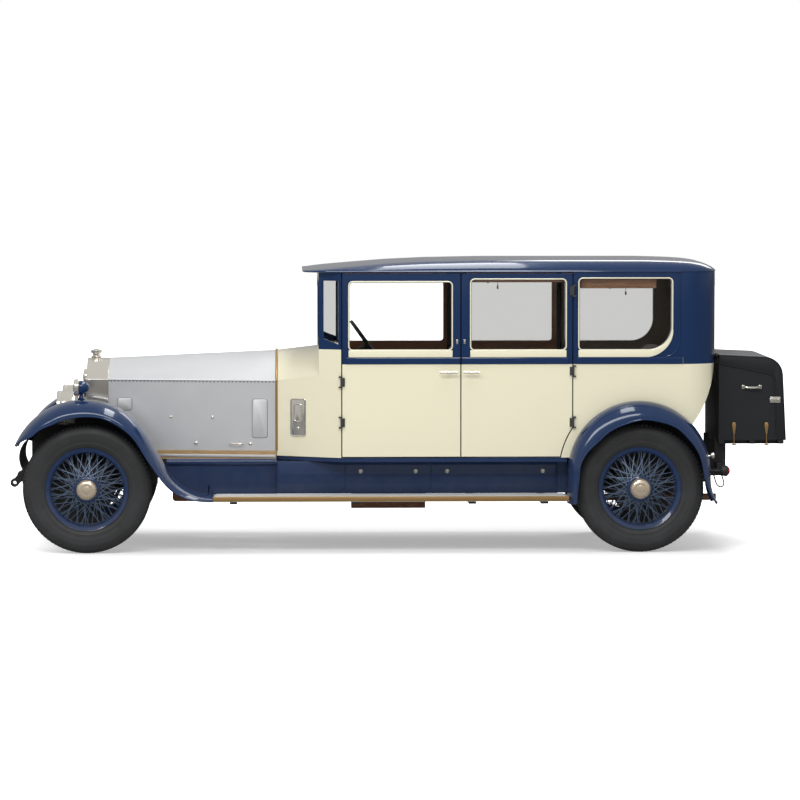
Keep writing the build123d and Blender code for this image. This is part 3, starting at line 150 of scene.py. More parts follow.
def make_road_dust_group():
    """Road dust: a mask that is strong near the ground and fades with height, broken up by noise."""
    number = "NodeSocketFloat"
    group, start, end = new_group("Road dust", [("Top", number, 0.8), ("Amount", number, 0.3)],
                                  [("Mask", number)])
    height = math_node(group, "DIVIDE", split_place(group)["Z"], start.outputs["Top"])
    fade = math_node(group, "SUBTRACT", 1.0, height, clamp=True)
    broken = math_node(group, "MULTIPLY", fade, noise_node(group, 9.0, 6.0))
    mask = math_node(group, "MULTIPLY", broken, start.outputs["Amount"], clamp=True)
    group.links.new(mask, end.inputs["Mask"])
    return group


PATCHES = make_patches_group()
ROAD_DUST = make_road_dust_group()


# Finishes

def new_finish(name, colour, roughness, metallic=0.0, more=None):
    """A material with its Principled shader set to plain values."""
    finish = bpy.data.materials.new(name)
    finish.use_nodes = True
    shader = finish.node_tree.nodes["Principled BSDF"]
    values = {"Base Color": colour, "Roughness": roughness, "Metallic": metallic, **(more or {})}
    for socket, value in values.items():
        shader.inputs[socket].default_value = value
    return finish, finish.node_tree, shader


def group_node(tree, group, **values):
    """A shader group with its inputs set."""
    node = tree.nodes.new("ShaderNodeGroup")
    node.node_tree = group
    for socket, value in values.items():
        node.inputs[socket].default_value = value
    return node.outputs[0]


def patchy(tree, shader, scale, low, high):
    """Drives the roughness by soft patches."""
    tree.links.new(group_node(tree, PATCHES, Scale=scale, Low=low, High=high), shader.inputs["Roughness"])


def dusty(tree, shader, colour, dust, top, amount):
    """Mixes road dust into the base colour, which is a colour or a socket."""
    mask = group_node(tree, ROAD_DUST, Top=top, Amount=amount)
    tree.links.new(mixed(tree, mask, colour, dust), shader.inputs["Base Color"])


def object_texture(tree, kind, scale):
    """A texture node of one kind on Object coordinates."""
    texture = tree.nodes.new(f"ShaderNodeTex{kind}")
    texture.inputs["Scale"].default_value = scale
    tree.links.new(tree.nodes.new("ShaderNodeTexCoord").outputs["Object"], texture.inputs["Vector"])
    return texture


def ramped(tree, shader, value, dark, light):
    """Drives the base colour between a dark and a light colour."""
    ramp = tree.nodes.new("ShaderNodeValToRGB")
    ramp.color_ramp.elements[0].color = dark
    ramp.color_ramp.elements[1].color = light
    tree.links.new(value, ramp.inputs["Fac"])
    tree.links.new(ramp.outputs["Color"], shader.inputs["Base Color"])


def bumpy(tree, shader, height, strength, distance):
    """Feeds a height into the shader's normal."""
    bump = tree.nodes.new("ShaderNodeBump")
    bump.inputs["Strength"].default_value = strength
    bump.inputs["Distance"].default_value = distance
    tree.links.new(height, bump.inputs["Height"])
    tree.links.new(bump.outputs["Normal"], shader.inputs["Normal"])


DUST = (0.33, 0.29, 0.24, 1.0)
# Varnish coat, and a sky-blue specular tint that paints a sky reflection into the paint's highlights.
VARNISH_WITH_SKY_TINT = {"Coat Weight": 0.8, "Coat Roughness": 0.05, "Specular IOR Level": 0.15, "Specular Tint": SKY_REFLECTION_TINT}


def coach_paint(name, colour, line=None):
    """Brushed coach paint under varnish whose reflections are tinted sky blue, a painted reflection, a
    little uneven, with dust low down.
    Where a height is given, it is navy from there upwards."""
    finish, tree, shader = new_finish(name, colour, 0.3, more=VARNISH_WITH_SKY_TINT)
    patchy(tree, shader, 5.0, 0.14, 0.24)
    if line:
        above = math_node(tree, "GREATER_THAN", split_place(tree)["Z"], line)
        dusty(tree, shader, mixed(tree, above, colour, NAVY), DUST, 0.95, 0.12)
    else:
        dusty(tree, shader, colour, DUST, 0.9, 0.16)
    bumpy(tree, shader, noise_node(tree, 38.0, 2.0), 0.05, 0.004)
    return finish


def bare_metal(name, colour, low, high, metallic, grain=None, depth=0.1):
    """Bare or plated metal with uneven polish, less metallic where dull.
    Where a grain is given, it is brushed."""
    finish, tree, shader = new_finish(name, colour, low, metallic)
    patchy(tree, shader, 11.0, low, high)
    if grain:
        bumpy(tree, shader, noise_node(tree, 60.0, 6.0, grain), depth, 0.002)
    return finish


def tyre_rubber(name):
    """Black tyre rubber, greyed by dust on its walls."""
    finish, tree, shader = new_finish(name, (0.021, 0.0215, 0.0225, 1.0), 0.62)
    patchy(tree, shader, 14.0, 0.5, 0.72)
    dusty(tree, shader, (0.019, 0.0195, 0.0205, 1.0), (0.095, 0.098, 0.105, 1.0), 1.3, 0.4)
    bumpy(tree, shader, noise_node(tree, 240.0, 3.0), 0.12, 0.002)
    return finish


def dark_paint(name, colour=BLACK, dust=0.5):
    """Chassis paint with road dirt."""
    finish, tree, shader = new_finish(name, colour, 0.5)
    patchy(tree, shader, 8.0, 0.38, 0.62)
    dusty(tree, shader, colour, (0.16, 0.14, 0.12, 1.0), 0.85, dust)
    bumpy(tree, shader, noise_node(tree, 90.0, 4.0), 0.12, 0.003)
    return finish


def grained_leathercloth(name):
    """Black leathercloth with a fine pebble grain."""
    finish, tree, shader = new_finish(name, (0.011, 0.0135, 0.017, 1.0), 0.5)
    patchy(tree, shader, 7.0, 0.42, 0.6)
    bumpy(tree, shader, object_texture(tree, "Voronoi", 260.0).outputs["Distance"], 0.3, 0.002)
    return finish


def window_glass(name):
    """Old plate glass, tinted light grey."""
    finish, tree, shader = new_finish(name, (0.91, 0.91, 0.90, 1.0), 0.02,
                                      more={"Transmission Weight": 1.0, "IOR": 1.1})
    patchy(tree, shader, 3.0, 0.0, 0.03)
    return finish


def ruby_glass(name):
    """Red pressed glass."""
    finish, tree, shader = new_finish(name, (0.42, 0.008, 0.008, 1.0), 0.12,
                                      more={"Transmission Weight": 0.35})
    patchy(tree, shader, 40.0, 0.06, 0.2)
    return finish


def woven_cloth(name, colour):
    """Ribbed upholstery cloth."""
    finish, tree, shader = new_finish(name, colour, 0.9, more={"Sheen Weight": 0.3})
    ribs = object_texture(tree, "Wave", 120.0)
    ribs.bands_direction = "Y"
    bumpy(tree, shader, ribs.outputs["Fac"], 0.35, 0.002)
    patchy(tree, shader, 20.0, 0.8, 0.98)
    return finish


def polished_wood(name, colour):
    """Varnished wood with long grain."""
    finish, tree, shader = new_finish(name, colour, 0.35, more={"Coat Weight": 0.5})
    dark, light = (tuple(min(1.0, share * c) for c in colour[:3]) + (1.0,) for share in (0.55, 1.35))
    ramped(tree, shader, noise_node(tree, 14.0, 8.0, (0.6, 8.0, 8.0)), dark, light)
    return finish


def rusty_pipe(name):
    """Rusted exhaust steel."""
    finish, tree, shader = new_finish(name, (0.16, 0.075, 0.04, 1.0), 0.8, 0.2)
    ramped(tree, shader, noise_node(tree, 26.0, 8.0), (0.05, 0.035, 0.028, 1.0), (0.28, 0.12, 0.05, 1.0))
    bumpy(tree, shader, noise_node(tree, 90.0, 6.0), 0.4, 0.003)
    return finish


# Columns: short name, slot in the record, material
FINISHES = [
    ("navy", "navy_paint", coach_paint("Navy coach paint", NAVY)),
    ("cream", "cream_paint", coach_paint("Cream coach paint", CREAM)),
    ("two_tone", "cream_paint", coach_paint("Cream and navy coach paint", CREAM, WAIST_LOW)),
    ("post", "navy_paint", coach_paint("Cream and navy post paint", CREAM, POST_LOW)),
    ("black", "black_paint", dark_paint("Black chassis paint")),
    ("aluminium", "bare_aluminium", bare_metal("Bare aluminium", (0.77, 0.78, 0.79, 1.0), 0.28, 0.46, 0.55,
                                               (1.0, 1.0, 14.0), 0.06)),
    ("nickel", "nickel", bare_metal("Nickel plate", NICKEL, 0.06, 0.16, 0.82)),
    ("brass", "nickel", bare_metal("Brass strip", BRASS, 0.25, 0.42, 0.75, (1.0, 12.0, 12.0), 0.1)),
    ("hub", "nickel", bare_metal("Hub cap plate", (0.78, 0.66, 0.50, 1.0), 0.2, 0.34, 0.7)),
    # Spokes: navy paint lightened to a metallic blue-grey, a painted highlight along them.
    ("spoke", "navy_paint", bare_metal("Navy spokes lightened as painted highlight", (0.15, 0.205, 0.30, 1.0), 0.3, 0.45, 0.5)),
    # Rivet paint: aluminium rivets darkened to dark grey, painted shade round their heads; the flap gaps
    # take it too.
    ("rivet", "bare_aluminium", bare_metal("Rivets and flap gaps, painted shade", (0.24, 0.25, 0.26, 1.0), 0.4, 0.55, 0.7)),
    ("iron", "cast_metal", dark_paint("Cast iron", (0.045, 0.045, 0.048, 1.0), 0.6)),
    ("rust", "rusty_steel", rusty_pipe("Rusted pipe")),
    ("tyre", "tyre_rubber", tyre_rubber("Tyre rubber")),
    ("mat", "board_rubber", dark_paint("Grey board rubber", (0.55, 0.55, 0.54, 1.0), 0.15)),
    ("glass", "glass", window_glass("Window glass")),
    ("cloth", "cloth", woven_cloth("Upholstery cloth", (0.21, 0.17, 0.135, 1.0))),
    ("wood", "ledge_wood", polished_wood("Cabin wood", (0.24, 0.105, 0.045, 1.0))),
    ("tan", "ledge_wood", polished_wood("Tan ledge", (0.47, 0.31, 0.15, 1.0))),
    ("leathercloth", "leathercloth", grained_leathercloth("Black leathercloth")),
    ("rim", "wheel_rim", dark_paint("Black wheel rim", (0.012, 0.011, 0.011, 1.0), 0.0)),
    ("headlining", "cloth", woven_cloth("Headlining", (0.42, 0.38, 0.32, 1.0))),
    ("ruby", "glass", ruby_glass("Red lamp glass")),
]
FINISH = {key: material for key, _, material in FINISHES}


# Modelling helpers

def begin(kind, **sizes):
    """Adds a primitive with nothing else selected."""
    bpy.ops.object.select_all(action="DESELECT")
    getattr(bpy.ops.mesh, f"primitive_{kind}_add")(**sizes)
    return bpy.context.active_object


def edit_mode():
    """Opens the active piece for editing."""
    bpy.ops.object.mode_set(mode="EDIT")


def object_mode():
    """Closes the piece being edited."""
    bpy.ops.object.mode_set(mode="OBJECT")


def select_only(piece):
    """Selects one piece and makes it the active one."""
    bpy.ops.object.select_all(action="DESELECT")
    piece.select_set(True)
    bpy.context.view_layer.objects.active = piece


def settle(piece, name, smooth=35.0):
    """Names a finished piece, puts its place into its mesh and smooths it up to an angle."""
    piece.name = name
    piece.data.name = name
    select_only(piece)
    bpy.ops.object.transform_apply(location=True, rotation=True, scale=True)
    if smooth:
        bpy.ops.object.shade_smooth_by_angle(angle=math.radians(smooth))
    return piece


def apply_modifier(piece, kind, **values):
    """Adds a modifier with its values and applies it."""
    modifier = piece.modifiers.new(kind.title(), kind)
    for key, value in values.items():
        setattr(modifier, key, value)
    select_only(piece)
    bpy.ops.object.modifier_apply(modifier=modifier.name)


def draw_chain(points, closed):
    """In edit mode, draws a chain of edges from one vertex by extruding it from point to point."""
    bpy.ops.mesh.select_all(action="SELECT")
    bpy.ops.mesh.merge(type="CENTER")
    bpy.ops.transform.translate(value=points[0])
    for here, there in zip(points, points[1:] + (points[:1] if closed else [])):
        step = Vector(there) - Vector(here)
        bpy.ops.mesh.extrude_region_move(TRANSFORM_OT_translate={"value": step})
    bpy.ops.mesh.select_all(action="SELECT")
    bpy.ops.mesh.remove_doubles(threshold=1e-5)


def turned(name, profile, centre, steps=64, smooth=35.0, axis=(0, 1, 0), out=(1, 0, 0)):
    """A turned piece: columns of the profile are radius and distance along the axis."""
    piece = begin("plane", size=0.001)
    edit_mode()
    axis_v, out_v, middle = Vector(axis), Vector(out), Vector(centre)
    draw_chain([middle + out_v * radius + axis_v * along for radius, along in profile], False)
    bpy.ops.mesh.spin(steps=steps, angle=2 * math.pi, center=centre, axis=axis)
    bpy.ops.mesh.select_all(action="SELECT")
    bpy.ops.mesh.remove_doubles(threshold=1e-5)
    bpy.ops.mesh.normals_make_consistent(inside=False)
    object_mode()
    return settle(piece, name, smooth)


def plate(name, outline, push, bevel=0.0, smooth=35.0):
    """A flat outline pushed out by a vector, with its edges eased where asked."""
    piece = begin("plane", size=0.001)
    edit_mode()
    draw_chain([Vector(point) for point in outline], True)
    bpy.ops.mesh.edge_face_add()
    bpy.ops.mesh.extrude_region_move(TRANSFORM_OT_translate={"value": push})
    bpy.ops.mesh.select_all(action="SELECT")
    bpy.ops.mesh.normals_make_consistent(inside=False)
    object_mode()
    if bevel:
        apply_modifier(piece, "BEVEL", width=bevel, segments=2, limit_method="ANGLE")
    return settle(piece, name, smooth)


def slab(name, low, high, bevel=0.003, segments=2):
    """A block between two corners with eased edges."""
    low, high = Vector(low), Vector(high)
    piece = begin("cube", size=1.0, location=(low + high) / 2)
    piece.scale = high - low
    settle(piece, name, 0)
    apply_modifier(piece, "BEVEL", width=bevel, segments=segments)
    return settle(piece, name)


def bar(name, start, end, radius, sides=16, bevel=0.0):
    """A round bar between two points."""
    start, end = Vector(start), Vector(end)
    way = end - start
    piece = begin("cylinder", vertices=sides, radius=radius, depth=way.length, location=(start + end) / 2)
    piece.rotation_euler = way.to_track_quat("Z", "Y").to_euler()
    settle(piece, name, 0)
    if bevel:
        apply_modifier(piece, "BEVEL", width=bevel, segments=2, limit_method="ANGLE")
    return settle(piece, name)


def ring_copies(piece, count):
    """Repeats a piece round the Y axis, all in one mesh."""
    select_only(piece)
    edit_mode()
    bpy.ops.mesh.select_all(action="SELECT")
    sweep = 2 * math.pi * (count - 1) / count
    bpy.ops.mesh.spin(steps=count - 1, angle=sweep, dupli=True, center=ORIGIN, axis=(0, 1, 0))
    object_mode()
    return piece


def wire(name, points, radius, sides=8, smooth_line=True):
    """A bent wire, bead or pipe along points."""
    curve = bpy.data.curves.new(name, "CURVE")
    curve.dimensions = "3D"
    curve.bevel_depth = radius
    curve.bevel_resolution = max(0, sides // 4)
    curve.use_fill_caps = True
    spline = curve.splines.new("NURBS" if smooth_line else "POLY")
    spline.points.add(len(points) - 1)
    for spot, point in zip(spline.points, points):
        spot.co = (*point, 1.0)
    if smooth_line:
        spline.order_u = 3
        spline.use_endpoint_u = True
        spline.resolution_u = 6
    piece = bpy.data.objects.new(name, curve)
    bpy.context.collection.objects.link(piece)
    select_only(piece)
    bpy.ops.object.convert(target="MESH")
    return settle(bpy.context.active_object, name)


def closed_wire(name, loop, radius, sides):
    """A bent wire whose end meets its start."""
    return wire(name, loop + loop[:1], radius, sides, False)


def join(name, pieces, smooth=0.0):
    """Joins pieces into one mesh."""
    bpy.ops.object.select_all(action="DESELECT")
    for piece in pieces:
        piece.select_set(True)
    bpy.context.view_layer.objects.active = pieces[0]
    bpy.ops.object.join()
    return settle(bpy.context.active_object, name, smooth)


def copy_of(piece, name):
    """A copy with its own mesh."""
    twin = piece.copy()
    twin.data = piece.data.copy()
    twin.name = name
    twin.data.name = name
    bpy.context.collection.objects.link(twin)
    return twin


def other_side(piece, name):
    """The same piece on the other side of the car."""
    twin = copy_of(piece, name)
    twin.data.transform(Matrix.Scale(-1.0, 4, (0, 1, 0)))
    twin.data.flip_normals()
    return twin


def moved(piece, name, place):
    """A copy shifted and turned by a matrix."""
    twin = copy_of(piece, name)
    twin.data.transform(place)
    return twin


def paint(piece, finish):
    """Gives a piece one finish."""
    piece.data.materials.clear()
    piece.data.materials.append(FINISH[finish])
    return piece


def fit(piece, finish, body=ROOT, stands_for=()):
    """Finishes a new piece and hangs it on its body."""
    if not piece.data.materials:
        paint(piece, finish)
    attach(piece, body)
    if stands_for:
        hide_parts(*stands_for)
    return piece


def both_sides(piece, finish, name, body=ROOT, stands_for=None, left=None):
    """Fits a left piece and its twin on the right. The name, the body and the node hold {} for the side."""
    twin = other_side(piece, name.format("right"))
    piece.name = left or name.format("left")
    for half, side in ((piece, "left"), (twin, "right")):
        fit(half, finish, body.format(side), [stands_for.format(side)] if stands_for else ())


def finish_faces(piece, finishes, choose):
    """Gives each face one of several finishes, chosen by its middle and its normal."""
    for finish in finishes:
        piece.data.materials.append(FINISH[finish])
    for face in piece.data.polygons:
        face.material_index = finishes.index(choose(face.center, face.normal))


def fit_faced(piece, finishes, choose, node, body=ROOT):
    """Fits a piece whose faces take several finishes, in place of a CAD node."""
    finish_faces(piece, finishes, choose)
    fit(piece, finishes[0], body, [node])


# Tyres and wheels

CORNERS = ("front_left", "front_right", "rear_left", "rear_right")
TREAD_BLOCKS = 90
BLOCK_PLACE = (0.4348, 0.0590, 0.0)
BLOCK_SIZE = (0.0046, 0.020, 0.0125)
BLOCK_LEAN = -0.72
HUB_FLUTES = 48
SPOKE_RADIUS = 0.0027
NIPPLE_RADIUS = 0.0042
NIPPLE_LENGTH = 0.018
SPOKE_END_RADIUS = 0.2490
DRUM_FACE = 0.0215
DRUM_RADIUS = 0.195
SPOKES_FROM, SPOKES_TO = 0.095, 0.2475


def mirrored_profile(half):
    """A profile followed by its mirror image, back from its last point."""
    return half + [(radius, -along) for radius, along in reversed(half[:-1])]


def model_tyre():
    """A tyre about Y at the origin: rounded walls with rib rings, grooved tread and shoulder blocks."""
    half = [(0.2672, 0.0615), (0.280, 0.0665), (0.298, 0.074), (0.312, 0.0785), (0.316, 0.0805),
            (0.320, 0.0795), (0.340, 0.0860), (0.360, 0.0885), (0.380, 0.0880), (0.388, 0.0885),
            (0.392, 0.0870), (0.408, 0.0820), (0.424, 0.0725), (0.434, 0.0630), (0.4405, 0.0520),
            (0.4430, 0.0440), (0.4360, 0.0425), (0.4360, 0.0385), (0.4438, 0.0370), (0.4443, 0.0210),
            (0.4370, 0.0200), (0.4370, 0.0150), (0.4445, 0.0140), (0.4445, 0.0)]
    tyre = turned("tyre_body", mirrored_profile(half) + half[:1], ORIGIN, 120, 40.0)
    block = begin("cube", size=1.0, location=BLOCK_PLACE)
    block.scale = BLOCK_SIZE
    block.rotation_euler = (0.0, 0.0, BLOCK_LEAN)
    settle(block, "shoulder_block", 0)
    apply_modifier(block, "BEVEL", width=FINE_EDGE, segments=1)
    ring_copies(block, TREAD_BLOCKS)
    twin = other_side(block, "shoulder_blocks_far")
    return join("tyre_pattern", [tyre, block, twin])


def model_spoke_row(name, count, lean, hub_radius, hub_along, rim_along, first):
    """One row of spokes round the hub, each with its nipple at the rim."""
    a, b = math.radians(first), math.radians(first + lean)
    start = Vector((hub_radius * math.cos(a), hub_along, hub_radius * math.sin(a)))
    end = Vector((SPOKE_END_RADIUS * math.cos(b), rim_along, SPOKE_END_RADIUS * math.sin(b)))
    way = (end - start).normalized()
    spoke = bar(name, start, end, SPOKE_RADIUS, 6)
    nipple = bar(name + "_nipple", end - way * NIPPLE_LENGTH, end, NIPPLE_RADIUS, 6)
    return ring_copies(join(name, [spoke, nipple]), count)


def model_wire_wheel():
    """Navy wire wheel about Y with its outer face toward -Y: rim, laced spokes, hub shell and drum."""
    rim_half = [(0.2480, 0.0), (0.2480, 0.030), (0.2520, 0.048), (0.2600, 0.062), (0.2660, 0.066),
                (0.2780, 0.0725), (0.2835, 0.0760), (0.2865, 0.0775), (0.2868, 0.0745), (0.2845, 0.0705),
                (0.2780, 0.0680), (0.2662, 0.0640), (0.2662, 0.0)]
    rim = turned("rim", mirrored_profile(rim_half), ORIGIN, 96, 45.0)
    hub = turned("hub",
                 [(0.0, 0.0779), (0.150, 0.0779), (0.178, 0.076), (0.1895, 0.066), (0.1895, 0.034),
                  (0.184, 0.0225), (0.100, 0.0225), (0.070, 0.010), (0.058, -0.006), (0.058, -0.012),
                  (0.066, -0.016), (0.066, -0.024), (0.057, -0.030), (0.054, -0.048), (0.072, -0.058),
                  (0.090, -0.0625), (0.092, -0.066), (0.090, -0.0695), (0.080, -0.0735), (0.064, -0.079),
                  (0.060, -0.090), (0.0625, -0.099), (0.050, -0.101), (0.0, -0.101)], ORIGIN, 64, 40.0)
    # Columns: count, lean in degrees, radius and place at the hub, place at the rim, first angle
    rows = [(20, 38, 0.088, -0.066, -0.004, 0.0), (20, -38, 0.088, -0.066, -0.004, 9.0),
            (20, 32, 0.064, -0.020, 0.016, 4.0), (20, -32, 0.064, -0.020, 0.016, 13.0),
            (10, 10, 0.088, -0.064, -0.016, 5.0), (10, -10, 0.088, -0.064, -0.016, 20.0)]
    spokes = [model_spoke_row(f"spokes_{number}", *row) for number, row in enumerate(rows)]
    return join("wire_wheel", [rim, hub] + spokes)


def model_hub_cap():
    """Nickel hub cap with a stepped face and a fluted edge."""
    cap = turned("cap",
                 [(0.0, -0.1498), (0.018, -0.1492), (0.026, -0.1475), (0.028, -0.1455), (0.033, -0.1450),
                  (0.040, -0.1465), (0.050, -0.1440), (0.060, -0.1385), (0.067, -0.1310),
                  (0.0695, -0.1240), (0.0695, -0.1080), (0.0680, -0.1045), (0.0600, -0.1035),
                  (0.0, -0.1035)], ORIGIN, 64, 30.0)
    flute = slab("flute", (0.0688, -0.122, -0.0017), (0.0708, -0.109, 0.0017), 0.0006, 1)
    ring_copies(flute, HUB_FLUTES)
    return join("cap", [cap, flute])


def wheel_face(middle, _):
    """Which finish a wheel's face takes: navy spokes lightened to blue-grey, a painted highlight, before a
    black brake drum.
    """
    radius = math.hypot(middle.x, middle.z)
    if middle.y > DRUM_FACE and radius < DRUM_RADIUS:
        return "rim"
    return "spoke" if SPOKES_FROM < radius < SPOKES_TO else "navy"


def add_wheels():
    """A tyre, a wire wheel and a hub cap at each corner, turned to face outwards."""
    tyre = model_tyre()
    wheel = model_wire_wheel()
    cap = model_hub_cap()
    finish_faces(wheel, ["navy", "rim", "spoke"], wheel_face)
    for where in CORNERS:
        axle = FRONT_AXLE if where.startswith("front") else REAR_AXLE
        y, turn = (-WHEEL_Y, 0.0) if where.endswith("left") else (WHEEL_Y, math.pi)
        place = Matrix.Translation((axle.x, y, axle.z)) @ Matrix.Rotation(turn, 4, "Z")
        body = f"{where}_wheel"
        fit(moved(tyre, f"tyre_{where}_treaded", place), "tyre", body, [f"tyre_{where}"])
        fit(moved(wheel, f"wire_wheel_{where}", place), "navy", body, [f"wheel_{where}"])
        fit(moved(cap, f"hub_cap_{where}", place), "hub", body)
    for pattern in (tyre, wheel, cap):
        bpy.data.objects.remove(pattern)


# Wings

def formed_sheet(name, along, across, place, thickness=0.0025):
    """A pressed sheet: a grid whose points are placed by their shares along and across.
    It is thickened both ways."""
    piece = begin("grid", x_subdivisions=along, y_subdivisions=across, size=1.0)
    for vertex in piece.data.vertices:
        vertex.co = place(vertex.co.x + 0.5, vertex.co.y + 0.5)
    edit_mode()
    bpy.ops.mesh.select_all(action="SELECT")
    bpy.ops.mesh.remove_doubles(threshold=1e-5)
    bpy.ops.mesh.normals_make_consistent(inside=False)
    object_mode()
    apply_modifier(piece, "SOLIDIFY", thickness=thickness, offset=0.0)
    return settle(piece, name, 50.0)


def eased(knots, share):
    """A smooth value between knots, each a share along and a value."""
    for (s0, v0), (s1, v1) in zip(knots, knots[1:]):
        if share <= s1:
            t = (share - s0) / (s1 - s0)
            return v0 + (v1 - v0) * t * t * (3 - 2 * t)
    return knots[-1][1]


def line_of(pieces):
    """A line in X and Z from arcs and straight runs, as a function of the share along it.
    Arcs are centre x and z, radius, first and last angle, and 1 or -1 for the side that is outside.
    Runs are start x and z, angle of direction, length, and angle of the outside.
    The function gives the point and the outward direction."""
    lengths = [p[4] if p[0] == "run" else abs(math.radians(p[5] - p[4])) * p[3] for p in pieces]
    total = sum(lengths)

    def at(share):
        left = share * total
        for piece, length in zip(pieces, lengths):
            if left <= length or piece is pieces[-1]:
                t = min(1.0, left / length)
                if piece[0] == "run":
                    _, x, z, heading, reach, outside = piece
                    a, o = math.radians(heading), math.radians(outside)
                    point = Vector((x + reach * t * math.cos(a), 0.0, z + reach * t * math.sin(a)))
                    return point, Vector((math.cos(o), 0.0, math.sin(o)))
                _, x, z, radius, first, last, side = piece
                a = math.radians(first + (last - first) * t)
                spoke = Vector((math.cos(a), 0.0, math.sin(a)))
                return Vector((x, 0.0, z)) + spoke * radius, spoke * side
            left -= length
    return at


WING_OUTER = 0.886
WING_BEAD = 0.006
WING_INNER_FALL = 0.025
OUTER_SHARE = 0.7
TIP_SHARE = 0.085
FRONT_WING = {"centre": (-2.185, 0.545), "radius": 0.515, "crown_y": 0.690, "inner_y": 0.520}
REAR_WING = {"centre": (1.660, 0.553), "radius": 0.495, "crown_y": 0.745, "inner_y": 0.600}


def front_wing_line():
    """The crown of a front wing from its tip over the wheel and down to the running board."""
    (x, z), radius = FRONT_WING["centre"], FRONT_WING["radius"]
    leave, run, foot = 30.0, 0.253, 0.373
    a = math.radians(leave)
    start = Vector((x + radius * math.cos(a), z + radius * math.sin(a)))
    end = start + run * Vector((math.sin(a), -math.cos(a)))
    hub = end + foot * Vector((math.cos(a), math.sin(a)))
    return line_of([("arc", x, z, radius, 157.0, leave, 1),
                    ("run", start.x, start.y, leave - 90.0, run, leave),
                    ("arc", hub.x, hub.y, foot, 180.0 + leave, 270.0, -1)])


def rear_wing_line():
    """The crown of a rear wing from the running board over the wheel to its flared tail."""
    (x, z), radius = REAR_WING["centre"], REAR_WING["radius"]
    upright, tail_run, tail = 0.209, 0.050, 0.300
    return line_of([("run", x - radius, z - upright, 90.0, upright, 180.0),
                    ("arc", x, z, radius, 180.0, 0.0, 1), ("run", x + radius, z, -90.0, tail_run, 0.0),
                    ("arc", x + radius + tail, z - tail_run, tail, 180.0, 210.0, -1)])


# Share along each wing and drop from its crown to its outer lip
FRONT_DROP = [(0.0, 0.012), (0.09, 0.075), (0.20, 0.104), (0.30, 0.107), (0.48, 0.092), (0.66, 0.076),
              (0.84, 0.060), (1.0, 0.030)]
REAR_DROP = [(0.0, 0.050), (0.12, 0.070), (0.30, 0.130), (0.42, 0.135), (0.55, 0.116), (0.70, 0.088),
             (0.86, 0.062), (1.0, 0.014)]


def model_wing(name, line, drop, shape, rounded_tip):
    """A domed left wing with a rolled bead round its lip."""
    crown_y, inner_y = shape["crown_y"], shape["inner_y"]

    def width(share):
        if not rounded_tip:
            return 1.0
        t = min(1.0, share / TIP_SHARE)
        return math.sqrt(max(0.0, 1 - (1 - t) ** 2)) * 0.75 + 0.25

    def place(u, v):
        point, outward = line(u)
        if v < OUTER_SHARE:
            a = (1 - v / OUTER_SHARE) * math.pi / 2
            y = crown_y + (WING_OUTER - crown_y) * math.sin(a) * width(u)
            fall = eased(drop, u) * (1 - math.cos(a))
        else:
            a = (v - OUTER_SHARE) / (1 - OUTER_SHARE) * math.pi / 2
            y = crown_y - (crown_y - inner_y) * math.sin(a) * width(u)
            fall = WING_INNER_FALL * (1 - math.cos(a))
        point = point - outward * fall
        return Vector((point.x, -y, point.z))

    sheet = formed_sheet(name, 72, 24, place)
    lip = wire(name + "_bead", [place(step / 60, 0.0) for step in range(61)], WING_BEAD, 12)
    ends = [wire(name + f"_end_{u}", [place(u, step / 12) for step in range(13)], WING_BEAD * 0.8, 12)
            for u in (0, 1)]
    return join(name, [sheet, lip] + ends)


def model_shield(name, line, first, last, rows):
    """A black splash sheet inside a left wing.
    Columns of the rows: depth below the wing's crown, Y, and lowest Z."""
    def place(u, v):
        point, outward = line(first + (last - first) * u)
        (depth0, y0, _), (depth1, y1, low) = rows
        if v < 0.75:
            at = point - outward * (depth0 if v < 0.25 else depth1)
            return Vector((at.x, -(y0 if v < 0.25 else y1), at.z))
        at = point - outward * depth1
        return Vector((at.x, -y1, min(low, at.z - 0.02)))

    return formed_sheet(name, 40, 2, place)


def add_wings():
    """Domed wings, with black splash sheets inside them."""
    front = model_shield("front_shield", front_wing_line(), 0.03, 0.80,
                         ((0.030, 0.524, 0.0), (0.085, 0.394, 0.60)))
    rear = model_shield("rear_shield", rear_wing_line(), 0.10, 0.90,
                        ((0.030, 0.606, 0.0), (0.060, 0.606, 0.56)))
    both_sides(join("shields", [front, rear]), "black", "wing_shields_{}")
    for where, line, drop, shape, rounded in (("front", front_wing_line(), FRONT_DROP, FRONT_WING, True),
                                              ("rear", rear_wing_line(), REAR_DROP, REAR_WING, False)):
        wing = model_wing(f"wing_{where}_left_domed", line, drop, shape, rounded)
        both_sides(wing, "navy", f"wing_{where}_{{}}_domed", stands_for=f"wing_{where}_{{}}")


# Running boards and valances

BOARD = {"x0": -1.290, "x1": 1.1646, "inner": 0.580, "outer": 0.885, "low": 0.362, "high": 0.397}
BOARD_RIBS = 19
BOARD_SCREWS = 17


